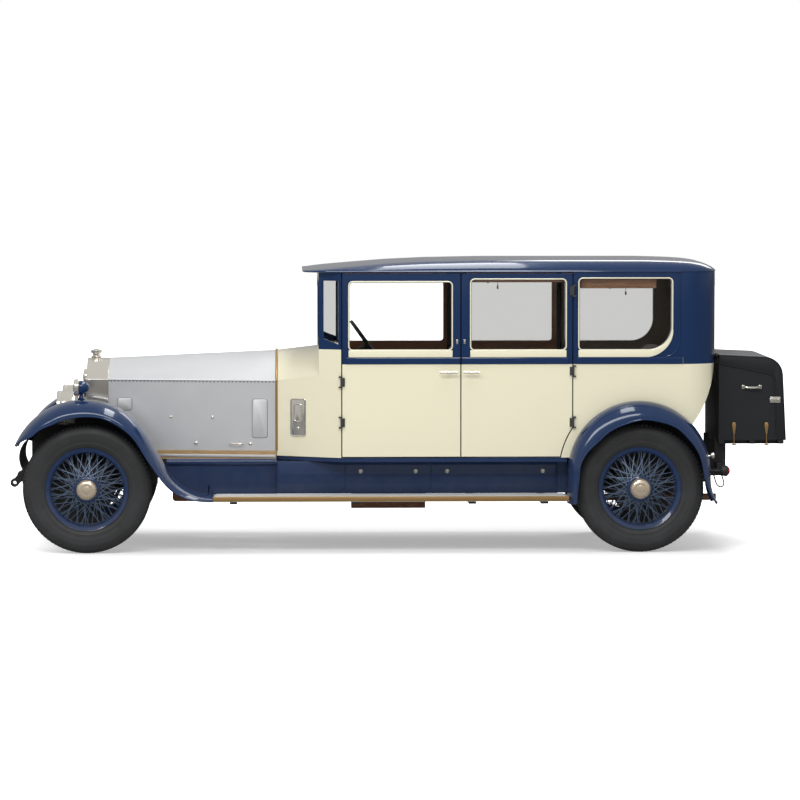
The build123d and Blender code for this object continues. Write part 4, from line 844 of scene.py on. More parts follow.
def add_running_boards():
    """Boards topped with ribbed rubber, edged with a brass strip held by screws."""
    x0, x1, inner, outer, low, high = BOARD.values()
    pieces = [slab("board_core", (x0, -outer + 0.006, low), (x1, -inner, high - 0.004), 0.004)]
    for number in range(BOARD_RIBS):
        y = -inner - 0.022 - number * 0.0143
        rib_low, rib_high = (x0 + 0.02, y - 0.0048, high - 0.006), (x1 - 0.02, y + 0.0048, high)
        pieces.append(slab(f"rib_{number}", rib_low, rib_high, FINE_EDGE, 1))
    board = join("board_left", pieces)
    both = join("running_boards_ribbed", [board, other_side(board, "board_right")])
    fit(both, "mat", stands_for=["running_boards"])
    strip = [slab("strip_face", (x0, -outer, low + 0.003), (x1, -outer + 0.0065, high + 0.001), 0.0022),
             slab("strip_top", (x0, -outer + 0.002, high - 0.002), (x1, -outer + 0.016, high + 0.0012),
                  0.0012)]
    screw = [(0.0, 0.0018), (0.0032, 0.0012), (0.0042, 0.0), (0.0042, -0.001), (0.0, -0.001)]
    for number in range(BOARD_SCREWS):
        x = x0 + 0.05 + number * (x1 - x0 - 0.1) / (BOARD_SCREWS - 1)
        strip.append(turned(f"screw_{number}", screw, (x, -outer + 0.0092, high + 0.0012), 10,
                            axis=UP))
    both_sides(join("strip", strip), "brass", "board_strip_{}")


VALANCE_TOP = 0.6246
VALANCE_SPLITS = (-0.846, -0.376, 0.221, 1.104)
VALANCE_Y = 0.600
KNOB_PLACES = (-0.268, 0.115, 0.334, 1.000)
SHELF_Y = 0.5185
SHELF_ROLL = {"y": -0.512, "z": 0.612, "radius": 0.025}


def add_valance_trim():
    """Tool-box doors let into the valances, with turn knobs, and sheets that close the ends.
    Along the front shelf, a rolled edge and a metal strip."""
    panels = [slab(f"panel_{x0}", (x0 + 0.004, -VALANCE_Y - 0.004, BOARD["high"] + 0.008),
                   (x1 - 0.004, -VALANCE_Y, VALANCE_TOP - 0.006), 0.002)
              for x0, x1 in zip(VALANCE_SPLITS, VALANCE_SPLITS[1:])]
    both_sides(join("tool_doors", panels), "navy", "tool_doors_{}")
    knob = [(0.0, -0.020), (0.010, -0.0185), (0.0125, -0.013), (0.008, -0.009), (0.007, -0.004),
            (0.015, -0.003), (0.015, 0.0), (0.0, 0.0)]
    knobs = [turned(f"knob_{x}", knob, (x, -VALANCE_Y - 0.004, 0.552), 20) for x in KNOB_PLACES]
    both_sides(join("knobs", knobs), "nickel", "tool_knobs_{}")
    roll_line = [(x, SHELF_ROLL["y"], SHELF_ROLL["z"]) for x in (-1.618, -1.2, -0.852)]
    both_sides(wire("shelf_roll", roll_line, SHELF_ROLL["radius"], 20, False), "navy", "shelf_roll_{}")
    corners = ((-1.80, 0.643), (-0.858, 0.643), (-0.858, 0.6605), (-1.80, 0.6605))
    strip_line = [on_panel(BONNET, x, z, 0.0121) for x, z in corners]
    strip = plate("ledge_strip", strip_line, panel_normal(BONNET) * 0.004, 0.0012)
    both_sides(strip, "aluminium", "ledge_strip_{}")
    line = front_wing_line()
    edge = [line(share)[0] - line(share)[1] * 0.022 for share in (0.74, 0.78, 0.82, 0.86, 0.90, 0.94, 0.98)]
    outline = [(p.x, -SHELF_Y, p.z) for p in edge] + [(-1.30, -SHELF_Y, 0.60), (-1.62, -SHELF_Y, 0.60)]
    ends = [plate("filler", outline, (0.0, 0.004, 0.0))]
    for name, low, high in (("sill", (-1.33, -SHELF_Y, 0.386), (-0.850, 0.004 - SHELF_Y, 0.450)),
                            ("return", (-0.852, -0.598, 0.399), (-0.848, -0.515, 0.622)),
                            ("rear_end", (1.104, -0.604, 0.400), (1.170, -0.600, VALANCE_TOP))):
        ends.append(slab(name, low, high, 0.001, 1))
    both_sides(join("valance_ends", ends), "navy", "valance_ends_{}")


# Doors and body mouldings

WINDOWS = {
    "front": (-0.345, 0.356, 1.405, 1.868, "front_{}_door", 0.022, 0.022),
    "rear": (0.497, 1.145, 1.405, 1.886, "rear_{}_door", 0.022, 0.022),
    "quarter": (1.246, 1.882, 1.405, 1.892, ROOT, 0.022, 0.160),
}
FACE_Y = BODY_HALF + 0.0005


def arc_points(cx, cz, radius, first, last, y, steps=6, end_radius=None):
    """Points on an arc in X and Z at one Y, whose radius may grow or shrink to another along the way."""
    points = []
    for step in range(steps + 1):
        share = step / steps
        a = math.radians(first + (last - first) * share)
        r = radius + ((end_radius or radius) - radius) * share
        points.append((cx + r * math.cos(a), y, cz + r * math.sin(a)))
    return points


def rounded_loop(x0, x1, z0, z1, radius, y, rear=None):
    """Points round a window in X and Z at one Y.
    The lower rear corner may have a radius of its own."""
    rear = rear or radius
    return (arc_points(x1 - radius, z1 - radius, radius, 0, 90, y)
            + arc_points(x0 + radius, z1 - radius, radius, 90, 180, y)
            + arc_points(x0 + radius, z0 + radius, radius, 180, 270, y)
            + arc_points(x1 - rear, z0 + rear, rear, 270, 360, y, 12))


def model_sill(name, x0, x1, z0, rear):
    """The cream band under a window, tapering round a large lower rear corner."""
    low, y = WAIST_HIGH + 0.002, -FACE_Y + 0.002
    cx, cz = x1 - rear, z0 + rear
    if rear < 0.05:
        outline = [(x0, y, low), (x1, y, low), (x1, y, z0), (x0, y, z0)]
    else:
        outline = ([(x0, y, low)] + arc_points(cx, cz, cz - low, 270, 352, y, 12, rear + 0.005)
                   + arc_points(cx, cz, rear, 352, 270, y, 12) + [(x0, y, z0)])
    return plate(name, outline, (0.0, -0.009, 0.0), 0.0025)


def add_window_mouldings():
    """Cream beads round the side windows over a cream sill."""
    for where, (x0, x1, z0, z1, body, radius, rear) in WINDOWS.items():
        loop = rounded_loop(x0 - 0.007, x1 + 0.007, z0 - 0.004, z1 + 0.007, radius + 0.006,
                            -FACE_Y - 0.001, rear + 0.006)
        bead = closed_wire(f"bead_{where}", loop, 0.0048, 12)
        sill = model_sill(f"sill_{where}", x0 - 0.009, x1 + 0.009, z0 - 0.004, rear + 0.006)
        name = f"window_moulding_{where}"
        both_sides(join(name, [bead, sill]), "cream", name + "_{}", body, left=name)


# Bonnet

BONNET = {"x0": -2.030, "x1": -0.854, "half0": 0.310, "half1": 0.490}
SCUTTLE = {"x0": -0.852, "x1": -0.405, "half0": 0.490, "half1": 0.740}
BONNET_SHOULDER = 1.180
BONNET_RIVETS = 45
RIVET_PITCH = 0.0258
HANDLE_Z = 0.737
# Low and high X, low and high Z, and corner radius of the small doors in the bonnet side
BONNET_FLAPS = {"flap": (-1.021, -0.918, 0.780, 1.047, 0.018),
                "hatch": (-1.966, -1.866, 0.965, 1.050, 0.016)}
FLAP_GAP = 0.0035


def panel_normal(panel):
    """The outward normal of a left side panel that widens toward the rear."""
    slope = (panel["half1"] - panel["half0"]) / (panel["x1"] - panel["x0"])
    return Vector((-slope, -1.0, 0.0)).normalized()


def on_panel(panel, x, z, out=0.0):
    """A point on a left side panel, pushed out along its normal."""
    slope = (panel["half1"] - panel["half0"]) / (panel["x1"] - panel["x0"])
    return Vector((x, -(panel["half0"] + slope * (x - panel["x0"])), z)) + panel_normal(panel) * out


def panel_loop(panel, x0, x1, z0, z1, radius, out=0.0):
    """Points round a rounded rectangle on a left side panel."""
    return [on_panel(panel, x, z, out) for x, _, z in rounded_loop(x0, x1, z0, z1, radius, 0.0)]


def panel_stud(name, panel, profile, place, steps):
    """A turned piece that stands on a left side panel."""
    normal = panel_normal(panel)
    return turned(name, profile, place, steps, axis=normal, out=(normal.y, -normal.x, 0))


def add_bonnet_trim():
    """A hinge tube with a rivet row under it, the rivets darkened with painted shade, small flaps with
    painted shadow in their gaps, a handle and studs.
    """
    normal = panel_normal(BONNET)
    x0, x1 = BONNET["x0"], BONNET["x1"]
    rivet = panel_stud("rivet", BONNET,
                       [(0.0, 0.0030), (0.0028, 0.0024), (0.0046, 0.0008), (0.0048, 0.0), (0.0, 0.0)],
                       ORIGIN, 8)
    rivets = []
    for number in range(BONNET_RIVETS):
        place = on_panel(BONNET, x0 + 0.02 + number * RIVET_PITCH, BONNET_SHOULDER - 0.012)
        rivets.append(moved(rivet, f"rivet_{number}", Matrix.Translation(place)))
    bpy.data.objects.remove(rivet)
    # The rivet row takes the dark rivet finish: painted shade.
    both_sides(join("rivets", rivets, 40.0), "rivet", "bonnet_rivets_{}")
    tube_ends = [on_panel(BONNET, x, BONNET_SHOULDER - 0.001, 0.002) for x in (x0 + 0.004, x1 - 0.004)]
    both_sides(bar("hinge_tube", *tube_ends, 0.006, 12), "aluminium", "bonnet_hinge_{}")
    # Dark plates a little larger than the flaps: painted shadow in the gaps round them.
    shadow = []
    for name, (low_x, high_x, low_z, high_z, _) in BONNET_FLAPS.items():
        gap = (low_x - FLAP_GAP, high_x + FLAP_GAP, low_z - FLAP_GAP, high_z + FLAP_GAP)
        shadow.append(plate(f"{name}_outline", panel_loop(BONNET, *gap, 0.020), normal * 0.0012))
    both_sides(join("flap_gap_shadows", shadow), "rivet", "flap_gap_shadows_{}")
    flaps = [plate(name, panel_loop(BONNET, *sizes), normal * 0.0035, FINE_EDGE)
             for name, sizes in BONNET_FLAPS.items()]
    both_sides(join("flaps", flaps), "aluminium", "bonnet_flaps_{}")
    handle = ((-1.180, 0.0), (-1.176, 0.024), (-1.160, 0.030), (-1.106, 0.030), (-1.090, 0.024),
              (-1.086, 0.0))
    small = [wire("handle", [on_panel(BONNET, x, HANDLE_Z, out) for x, out in handle], 0.0055, 12)]
    # Columns: X, Z and size of each stud
    for x, z, size in ((-1.59, 0.920, 0.010), (-1.30, 0.920, 0.010), (-1.415, 0.738, 0.013),
                       (-1.036, 0.735, 0.012), (-1.89, 0.735, 0.012)):
        profile = [(0.0, size), (size * 0.6, size * 0.85), (size, size * 0.4), (size * 1.1, 0.0), (0.0, 0.0)]
        small.append(panel_stud(f"stud_{x}", BONNET, profile, on_panel(BONNET, x, z), 20))
    both_sides(join("bonnet_fittings", small), "nickel", "bonnet_fittings_{}")


# Pieces refined from the CAD solids

def refined(name, node, ease=0.002, smooth=32.0):
    """A piece with a CAD node's own form, its flat faces made whole and its edges eased."""
    piece = copy_of(nodes[node], name)
    piece.parent = None
    piece.matrix_world = Matrix.Identity(4)
    select_only(piece)
    edit_mode()
    bpy.ops.mesh.select_all(action="SELECT")
    bpy.ops.mesh.remove_doubles(threshold=2e-5)
    bpy.ops.mesh.dissolve_limited(angle_limit=math.radians(0.6))
    bpy.ops.mesh.customdata_custom_splitnormals_clear()
    object_mode()
    if ease:
        apply_modifier(piece, "BEVEL", width=ease, segments=2, limit_method="ANGLE",
                       angle_limit=math.radians(40.0), use_clamp_overlap=True)
    piece.data.materials.clear()
    settle(piece, name, smooth)
    apply_modifier(piece, "WEIGHTED_NORMAL", keep_sharp=True)
    return piece


LINING_Y = BODY_HALF - 0.040
HANDLE_X = (0.26, 0.57)
HINGE_Y = BODY_HALF + 0.006
REAR_HINGE_X = 1.23
LINING_FROM, LINING_TO = 1.2, 2.1
SILL_TOP = 0.66
WAIST_SLACK = 0.002


def on_waist(z):
    """Whether a height lies on the waist moulding."""
    return WAIST_LOW - WAIST_SLACK < z < WAIST_HIGH + WAIST_SLACK


def door_face(middle, normal):
    """Which finish a door's face takes: nickel fittings, wood and cloth inside, paint outside."""
    if abs(middle.y) > BODY_HALF + 0.0015:
        if on_waist(middle.z):
            return "two_tone"
        if HANDLE_X[0] < middle.x < HANDLE_X[1]:
            return "nickel"
        return "iron" if abs(middle.y) > HINGE_Y else "two_tone"
    if abs(middle.y) < LINING_Y and middle.y * normal.y < 0:
        return "wood" if middle.z > WAIST_LOW else "cloth"
    return "two_tone"


def roof_face(middle, normal):
    """Headlining below the roof and paint elsewhere."""
    return "headlining" if normal.z < -0.2 and middle.z > EAVES + 0.0025 else "navy"


def scuttle_face(middle, _):
    """Iron hinge knuckles on a painted scuttle."""
    return "iron" if abs(middle.y) > HINGE_Y else "cream"


ROOF = {"x0": -0.665, "x1": 2.210, "half": 0.745, "corner": 0.240, "shoulder": 0.130}
ROOF_SHEET = 0.012
ROOF_CROSS_FALL = 0.18
# Place along the car and height of the roof's middle line
ROOF_LINE = [(-0.665, 1.947), (-0.33, 1.979), (-0.077, 2.002), (0.2, 2.016), (0.6, 2.024), (1.70, 2.024),
             (1.90, 2.019), (2.02, 2.012), (2.124, 2.000), (2.178, 1.986), (2.21, 1.970)]
ROOF_RINGS = (0.0, 0.004, 0.012, 0.026, 0.046, 0.072, 0.105, 0.130, 0.180, 0.260, 0.370, 0.500, 0.620, 0.745)


def roof_edge(share):
    """A point on the roof's edge and the direction inwards.
    The share goes once round from the middle of the front."""
    corner, wide = ROOF["corner"], ROOF["half"] - ROOF["corner"]
    turn, long = corner * math.pi / 2, ROOF["x1"] - ROOF["x0"] - 2 * corner
    total = 2 * (wide + turn) + long
    reach = 2 * min(share, 1 - share) * total
    side, near = (-1 if share < 0.5 else 1), min(reach, total - reach)
    b = min(max(near - wide, 0.0) / corner, math.pi / 2)
    along = corner - corner * math.cos(b) + max(near - wide - turn, 0.0)
    across = side * (min(near, wide) + corner * math.sin(b))
    ahead = reach <= total / 2
    point = Vector((ROOF["x0"] + along if ahead else ROOF["x1"] - along, across))
    return point, Vector((math.cos(b) if ahead else -math.cos(b), -side * math.sin(b)))


def straight(knots, place):
    """A value between knots, each a place and a value, along straight lines."""
    for (s0, v0), (s1, v1) in zip(knots, knots[1:]):
        if place <= s1:
            return v0 + (v1 - v0) * (place - s0) / (s1 - s0)
    return knots[-1][1]


def model_roof():
    """The roof: rings drawn in from its rounded edge, raised to a rounded shoulder and a crowned top."""
    def place(u, v):
        number = v * (len(ROOF_RINGS) - 1)
        inset = straight(list(enumerate(ROOF_RINGS)), number)
        point, inward = roof_edge(u)
        point = point + inward * (min(inset, ROOF["corner"]) + ROOF_SHEET / 2)
        x = min(max(point.x, ROOF["x0"] + inset), ROOF["x1"] - inset)
        y = min(max(point.y, inset - ROOF["half"]), ROOF["half"] - inset)
        crown = 1 - ROOF_CROSS_FALL * (y / ROOF["half"]) ** 2
        lift = math.sqrt(1 - (1 - min(inset / ROOF["shoulder"], 1.0)) ** 2)
        return Vector((x, y, EAVES + 0.001 + (straight(ROOF_LINE, x) - EAVES) * crown * lift))

    return formed_sheet("roof_crowned", 160, len(ROOF_RINGS) - 1, place, ROOF_SHEET)


def inside_face(middle, normal):
    """Paint outside and cloth inside, for the rear body, with iron hinge knuckles."""
    if abs(middle.y) > HINGE_Y and middle.x < REAR_HINGE_X and not on_waist(middle.z):
        return "iron"
    side = abs(middle.y) < LINING_Y and middle.y * normal.y < -0.01
    inward = side or normal.x > 0.6 and middle.x < LINING_TO
    return "cloth" if inward and middle.x > LINING_FROM and middle.z > SILL_TOP else "two_tone"


def sill_face(middle, normal):
    """Navy on the upright sides of the sills and black elsewhere, for the body's frame."""
    return "navy" if middle.z < SILL_TOP and abs(normal.z) < 0.5 else "black"


def add_body():
    """The doors, rear body, roof, scuttle and bonnet with eased edges and their linings."""
    for corner in CORNERS:
        door = refined(f"door_{corner}_finished", f"door_{corner}")
        fit_faced(door, ["two_tone", "nickel", "iron", "wood", "cloth"], door_face, f"door_{corner}",
                  f"{corner}_door")
    fit_faced(refined("rear_body_finished", "rear_body"), ["two_tone", "cloth", "iron"], inside_face,
              "rear_body")
    fit_faced(model_roof(), ["navy", "headlining"], roof_face, "roof")
    fit_faced(refined("body_frame_finished", "body_frame"), ["black", "navy"], sill_face, "body_frame")
    fit_faced(refined("scuttle_finished", "scuttle"), ["cream", "iron"], scuttle_face, "scuttle")
    for node, finish in (("windscreen_frame", "post"), ("bonnet_top", "aluminium"),
                         ("bonnet_side_left", "aluminium"), ("bonnet_side_right", "aluminium"),
                         ("bonnet_ledges", "tan"), ("radiator_shell", "nickel"), ("valances", "navy"),
                         ("front_apron", "black"), ("luggage_rack", "black"), ("radiator_cap", "nickel"),
                         ("chassis_frame", "black")):
        fit(refined(f"{node}_finished", node), finish, stands_for=[node])


# Lamps

HEADLAMP = Vector((-2.225, -0.370, 0.985))
LAMP_BAR = {"half": 0.519, "z": 1.000, "radius": 0.016, "post_y": 0.355, "post_low": 0.6254,
            "post_radius": 0.014}
SIDE_LAMP = Vector((-2.200, -0.690, 1.144))
TAIL_LAMP = Vector((2.256, -0.745, 0.561))


def about_x(name, profile, centre, steps=48):
    """A turned piece about a line along X."""
    return turned(name, profile, centre, steps, axis=(1, 0, 0), out=(0, 0, 1))


def add_headlamps():
    """Drum headlamps with reflectors and glasses on the tie bar, whose posts stand on the chassis rails."""
    shell = about_x("lamp_shell",
                    [(0.0, -0.044), (0.030, -0.050), (0.066, -0.080), (0.090, -0.120), (0.098, -0.150),
                     (0.104, -0.158), (0.112, -0.160), (0.119, -0.155), (0.120, -0.140), (0.1155, -0.133),
                     (0.1185, -0.127), (0.1185, -0.060), (0.112, -0.036), (0.085, -0.018), (0.045, -0.006),
                     (0.0, -0.001)], HEADLAMP)
    lens = about_x("lamp_lens",
                   [(0.0, -0.168), (0.050, -0.164), (0.085, -0.157), (0.0985, -0.151), (0.0985, -0.148),
                    (0.085, -0.153), (0.050, -0.160), (0.0, -0.164)], HEADLAMP)
    r, post = LAMP_BAR["radius"], LAMP_BAR["post_radius"]
    rail = bar("lamp_bar", (HEADLAMP.x, -LAMP_BAR["half"], LAMP_BAR["z"]),
               (HEADLAMP.x, LAMP_BAR["half"], LAMP_BAR["z"]), r, 24, 0.003)
    stand = turned("lamp_post",
                   [(0.0, 0.0), (0.026, 0.0), (0.026, 0.010), (0.016, 0.018), (post, 0.030), (post, 0.350),
                    (0.019, 0.356), (0.019, 0.392), (0.0, 0.392)],
                   (HEADLAMP.x, -LAMP_BAR["post_y"], LAMP_BAR["post_low"]), 24, axis=UP)
    pieces = [rail, shell, stand, other_side(shell, "lamp_shell_far"), other_side(stand, "lamp_post_far")]
    fit(join("headlamps_finished", pieces), "nickel", stands_for=["headlamps"])
    fit(join("headlamp_glasses", [lens, other_side(lens, "lamp_lens_far")]), "glass")


def add_side_lamps():
    """Navy torpedo side lamps with nickel rims on the wing crowns."""
    torpedo = about_x("torpedo",
                      [(0.0, -0.016), (0.044, -0.0165), (0.0475, -0.013), (0.0470, 0.0), (0.0425, 0.020),
                       (0.034, 0.036), (0.020, 0.050), (0.008, 0.0555), (0.0, 0.0562)], SIDE_LAMP)
    foot = turned("pedestal",
                  [(0.0, -0.0835), (0.027, -0.0835), (0.027, -0.079), (0.016, -0.070), (0.0125, -0.058),
                   (0.0135, -0.046), (0.022, -0.038), (0.0, -0.036)], SIDE_LAMP, 28, axis=UP)
    lamp = join("side_lamp", [torpedo, foot])
    fit(join("side_lamps_finished", [lamp, other_side(lamp, "side_lamp_far")]), "navy",
        stands_for=["side_lamps"])
    rim = about_x("lamp_rim",
                  [(0.0, -0.018), (0.050, -0.0155), (0.0575, -0.020), (0.058, -0.030), (0.058, -0.043),
                   (0.0545, -0.050), (0.046, -0.0525), (0.0445, -0.050), (0.045, -0.046), (0.030, -0.030),
                   (0.0, -0.022)], SIDE_LAMP)
    both_sides(rim, "nickel", "side_lamp_rim_{}")
    lens = about_x("lamp_glass",
                   [(0.0, -0.0575), (0.025, -0.0555), (0.0440, -0.0505), (0.0440, -0.048), (0.025, -0.052),
                    (0.0, -0.054)], SIDE_LAMP)
    both_sides(lens, "glass", "side_lamp_glass_{}")


def add_tail_lamp():
    """A black tail lamp with a red glass on its bracket, its lead, and the bright button behind the wing."""
    body = about_x("tail_body",
                   [(0.0, -0.038), (0.020, -0.033), (0.033, -0.020), (0.038, -0.002), (0.038, 0.012),
                    (0.035, 0.0185), (0.0295, 0.0195), (0.0285, 0.016), (0.0, 0.012)], TAIL_LAMP, 32)
    arm = bar("tail_arm", (2.1556, TAIL_LAMP.y, TAIL_LAMP.z), TAIL_LAMP - Vector((0.030, 0.0, 0.0)),
              0.0085, 16)
    fit(join("tail_lamp_finished", [body, arm]), "black", stands_for=["tail_lamp"])
    bends = ((2.226, 0.548), (2.246, 0.500), (2.250, 0.462), (2.228, 0.446), (2.200, 0.462),
             (2.186, 0.505), (2.172, 0.552))
    fit(wire("tail_cable", [(x, TAIL_LAMP.y, z) for x, z in bends], 0.0048, 10), "black")
    eye = Vector((2.164, -0.800, 0.672))
    button = about_x("wing_button",
                     [(0.0, -0.018), (0.012, -0.015), (0.021, -0.004), (0.022, 0.006), (0.018, 0.012),
                      (0.0, 0.015)], eye, 24)
    stem = bar("button_stem", eye - Vector((0.034, 0.0, 0.006)), eye - Vector((0.010, 0.0, 0.0)), 0.006, 12)
    fit(join("wing_button", [button, stem]), "nickel")
    fit(about_x("tail_glass",
                [(0.029, 0.016), (0.0285, 0.021), (0.024, 0.0275), (0.013, 0.0335), (0.0, 0.0352)],
                TAIL_LAMP, 32), "ruby")


# Roof and trunk fittings

DRIP_END = 1.950
DRIP_Z = EAVES + 0.0035


def add_drip_rail():
    """A rain bead along the foot of the roof, round its front and sides."""
    x0, half, corner = ROOF["x0"], ROOF["half"], ROOF["corner"]
    line = [(DRIP_END, -half, DRIP_Z)]
    for cy, first in ((corner - half, 270), (half - corner, 180)):
        for step in range(13):
            a = math.radians(first - 7.5 * step)
            line.append((x0 + corner + corner * math.cos(a), cy + corner * math.sin(a), DRIP_Z))
    fit(wire("drip_rail", line + [(DRIP_END, half, DRIP_Z)], 0.0062, 12, False), "navy")


TRUNK = {"x0": 2.241, "x1": 2.714, "half": 0.470, "low": 0.755, "high": 1.355, "fall": 0.022,
         "lean": 0.030, "round": 0.130}
SKIRT_THICKNESS = 0.0055
BINDING_RADIUS = 0.0042
GRIP_ENDS = (2.412, 2.530)
HASP_PLACES = (2.348, 2.576)


def filleted(before, corner, after, radius, steps=8):
    """Points of a rounded corner between two straight lines in X and Z."""
    corner = Vector(corner)
    a, b = (Vector(before) - corner).normalized(), (Vector(after) - corner).normalized()
    half = a.angle(b) / 2
    middle = corner + (a + b).normalized() * radius / math.sin(half)
    start, end = corner + a * radius / math.tan(half) - middle, corner + b * radius / math.tan(half) - middle
    first = math.atan2(start.y, start.x)
    turn = (math.atan2(end.y, end.x) - first + math.pi) % (2 * math.pi) - math.pi
    angles = [first + turn * step / steps for step in range(steps + 1)]
    return [middle + radius * Vector((math.cos(angle), math.sin(angle))) for angle in angles]


def add_trunk_trim():
    """The lid's side skirts with bound edges and catches, and the trunk's side grips and hasps."""
    x0, x1, half, low, high, fall, lean, rounding = TRUNK.values()
    face = -half - 0.0008
    skirt_face = face - SKIRT_THICKNESS
    outer = [Vector((x0 + 0.002, high - 0.002))]
    outer += filleted((x0, high), (x1 - lean, high - fall), (x1, low), rounding)
    outer += [Vector((x1 - 0.001, low + 0.004))]
    inner = [Vector((2.648, low + 0.004))] + filleted((2.648, 0.8), (2.633, 1.216), (2.246, 1.292), 0.045)
    inner += [Vector((x0 + 0.002, 1.293))]
    outline = [(p.x, face, p.y) for p in outer + inner]
    skirt = [plate("skirt", outline, (0.0, -SKIRT_THICKNESS, 0.0), FINE_EDGE)]
    for name, line, back, down in (("binding_in", inner, 0.0, 0.0), ("binding_out", outer, 0.004, 0.003)):
        points = [(p.x - back, skirt_face, p.y - down) for p in line]
        skirt.append(wire(name, points, BINDING_RADIUS, 10, False))
    both_sides(join("skirt_left", skirt), "leathercloth", "trunk_lid_skirt_{}", "lid")
    knob = [(0.0, -0.014), (0.007, -0.012), (0.009, -0.006), (0.009, 0.0), (0.0, 0.0)]
    catch = [slab("catch_plate", (2.600, face - 0.0105, 1.018), (2.672, face - 0.006, 1.060), FINE_EDGE),
             slab("catch_tongue", (2.596, face - 0.0150, 1.030), (2.652, face - 0.0105, 1.048), FINE_EDGE),
             turned("catch_knob", knob, (2.660, face - 0.0105, 1.039), 16)]
    both_sides(join("catch", catch), "nickel", "trunk_catch_{}", "lid")
    # Columns: X, distance out from the side, Z
    bends = ((2.412, 0.0, 1.128), (2.418, 0.018, 1.128), (2.440, 0.032, 1.126), (2.470, 0.036, 1.124),
             (2.502, 0.032, 1.126), (2.524, 0.018, 1.128), (2.530, 0.0, 1.128))
    grip = [wire("grip", [(x, face - out, z) for x, out, z in bends], 0.0085, 12)]
    for x in GRIP_ENDS:
        grip.append(slab(f"grip_end_{x}", (x - 0.011, face - 0.006, 1.114),
                         (x + 0.011, face + 0.001, 1.142), 0.003))
    both_sides(join("grip", grip), "nickel", "trunk_grip_{}")
    leaf = ((-0.010, 0.880), (0.010, 0.880), (0.014, 0.860), (0.006, 0.800), (-0.006, 0.800),
            (-0.014, 0.860))
    hasps = []
    for x in HASP_PLACES:
        hasps += [plate(f"leaf_{x}", [(x + dx, face, z) for dx, z in leaf], (0.0, -0.006, 0.0), FINE_EDGE),
                  bar(f"bolt_{x}", (x, face - 0.003, 0.805), (x, face - 0.003, 0.722), 0.0035, 12),
                  slab(f"nut_{x}", (x - 0.016, face - 0.006, 0.720), (x + 0.016, face, 0.729), 0.002)]
    both_sides(join("hasps", hasps), "brass", "trunk_hasps_{}")


# Small fittings of the body sides

# Columns: window, low and high X, low Z, share along the box where its pull hangs, body
BLINDS = [("rear", 0.500, 1.142, 1.868, 0.28, "rear_{}_door"), ("quarter", 1.250, 1.780, 1.826, 0.6, ROOT)]


def add_side_fittings():
    """Latch plates by the middle pillar, the moulding behind the quarter window, and door seals.
    Inside, blind boxes."""
    for where, x in (("front", 0.397), ("rear", 0.4485)):
        latch = slab(f"latch_{where}", (x - 0.0065, -FACE_Y - 0.004, 1.444), (x + 0.0065, -FACE_Y, 1.474),
                     FINE_EDGE)
        both_sides(latch, "nickel", f"latch_plate_{where}_{{}}", f"{where}_{{}}_door")
    bend = arc_points(1.836, 1.456, 0.102, 0, -88, -FACE_Y, 8)
    bead = wire("bead", [(1.938, -FACE_Y, 1.932), (1.938, -FACE_Y, 1.60)] + bend, 0.0055, 12, False)
    both_sides(bead, "navy", "quarter_bead_{}")
    seals = [slab(f"seal_{x0}", (x0, -0.6935, 0.668), (x1, -0.6885, 1.925), FINE_EDGE)
             for x0, x1 in ((-0.418, -0.384), (1.180, 1.216))]
    both_sides(join("seals", seals), "black", "door_seals_{}")
    profile = [(0.0, 0.0), (0.002, -0.001), (0.002, -0.020), (0.006, -0.026), (0.007, -0.046), (0.0, -0.050)]
    for where, x0, x1, low, share, body in BLINDS:
        box = slab(f"box_{where}", (x0, -0.693, low), (x1, -0.664, 1.915), 0.006)
        pull = turned(f"pull_{where}", profile, (x0 + share * (x1 - x0), -0.680, low + 0.002), 12,
                      axis=UP)
        name = f"blind_box_{where}"
        both_sides(join(name, [box, pull]), "wood", name + "_{}", body, left=name)


# Scuttle fittings

# The bead's place along the car, half width, foot, shoulder and top
BONNET_BEAD = {"x": -0.852, "half": 0.4905, "low": 0.690, "shoulder": 1.182, "top": 1.3725}


def add_scuttle_trim():
    """A framed nickel vent in each scuttle side and the brass bead where the bonnet meets it."""
    outline = panel_loop(SCUTTLE, -0.748, -0.654, 0.800, 1.052, 0.012)
    catch = [(0.0, 0.014), (0.008, 0.012), (0.011, 0.005), (0.011, 0.0), (0.0, 0.0)]
    vent = [plate("vent_plate", outline, panel_normal(SCUTTLE) * 0.004, FINE_EDGE),
            closed_wire("vent_rim", panel_loop(SCUTTLE, -0.750, -0.652, 0.798, 1.054, 0.012, 0.002),
                        0.0055, 12),
            closed_wire("vent_inner", panel_loop(SCUTTLE, -0.728, -0.674, 0.900, 1.020, 0.020, 0.005),
                        0.004, 10),
            panel_stud("vent_catch", SCUTTLE, catch, on_panel(SCUTTLE, -0.701, 0.850, 0.003), 20)]
    both_sides(join("vent", vent), "nickel", "scuttle_vent_{}")
    x, half, low, shoulder, top = BONNET_BEAD.values()
    rise = top - shoulder
    radius = (half * half + rise * rise) / (2 * rise)
    sweep = math.asin(half / radius)
    angles = [-sweep + 2 * sweep * step / 24 for step in range(25)]
    over = [(x, radius * math.sin(angle), top - radius + radius * math.cos(angle)) for angle in angles]
    fit(wire("bonnet_bead", [(x, -half, low)] + over + [(x, half, low)], 0.0095, 14, False), "brass")


# Cabin

PLEATS = 9
PLEAT_DEPTH = 0.012
SWELL_CAP = 0.024
SWELL_ROOM = 0.014
SWELL_PRESSURE = 4.0
SWELL_FRAMES = 15
CUSHION_GRID = 0.018
CUSHION_ROUND = 0.05


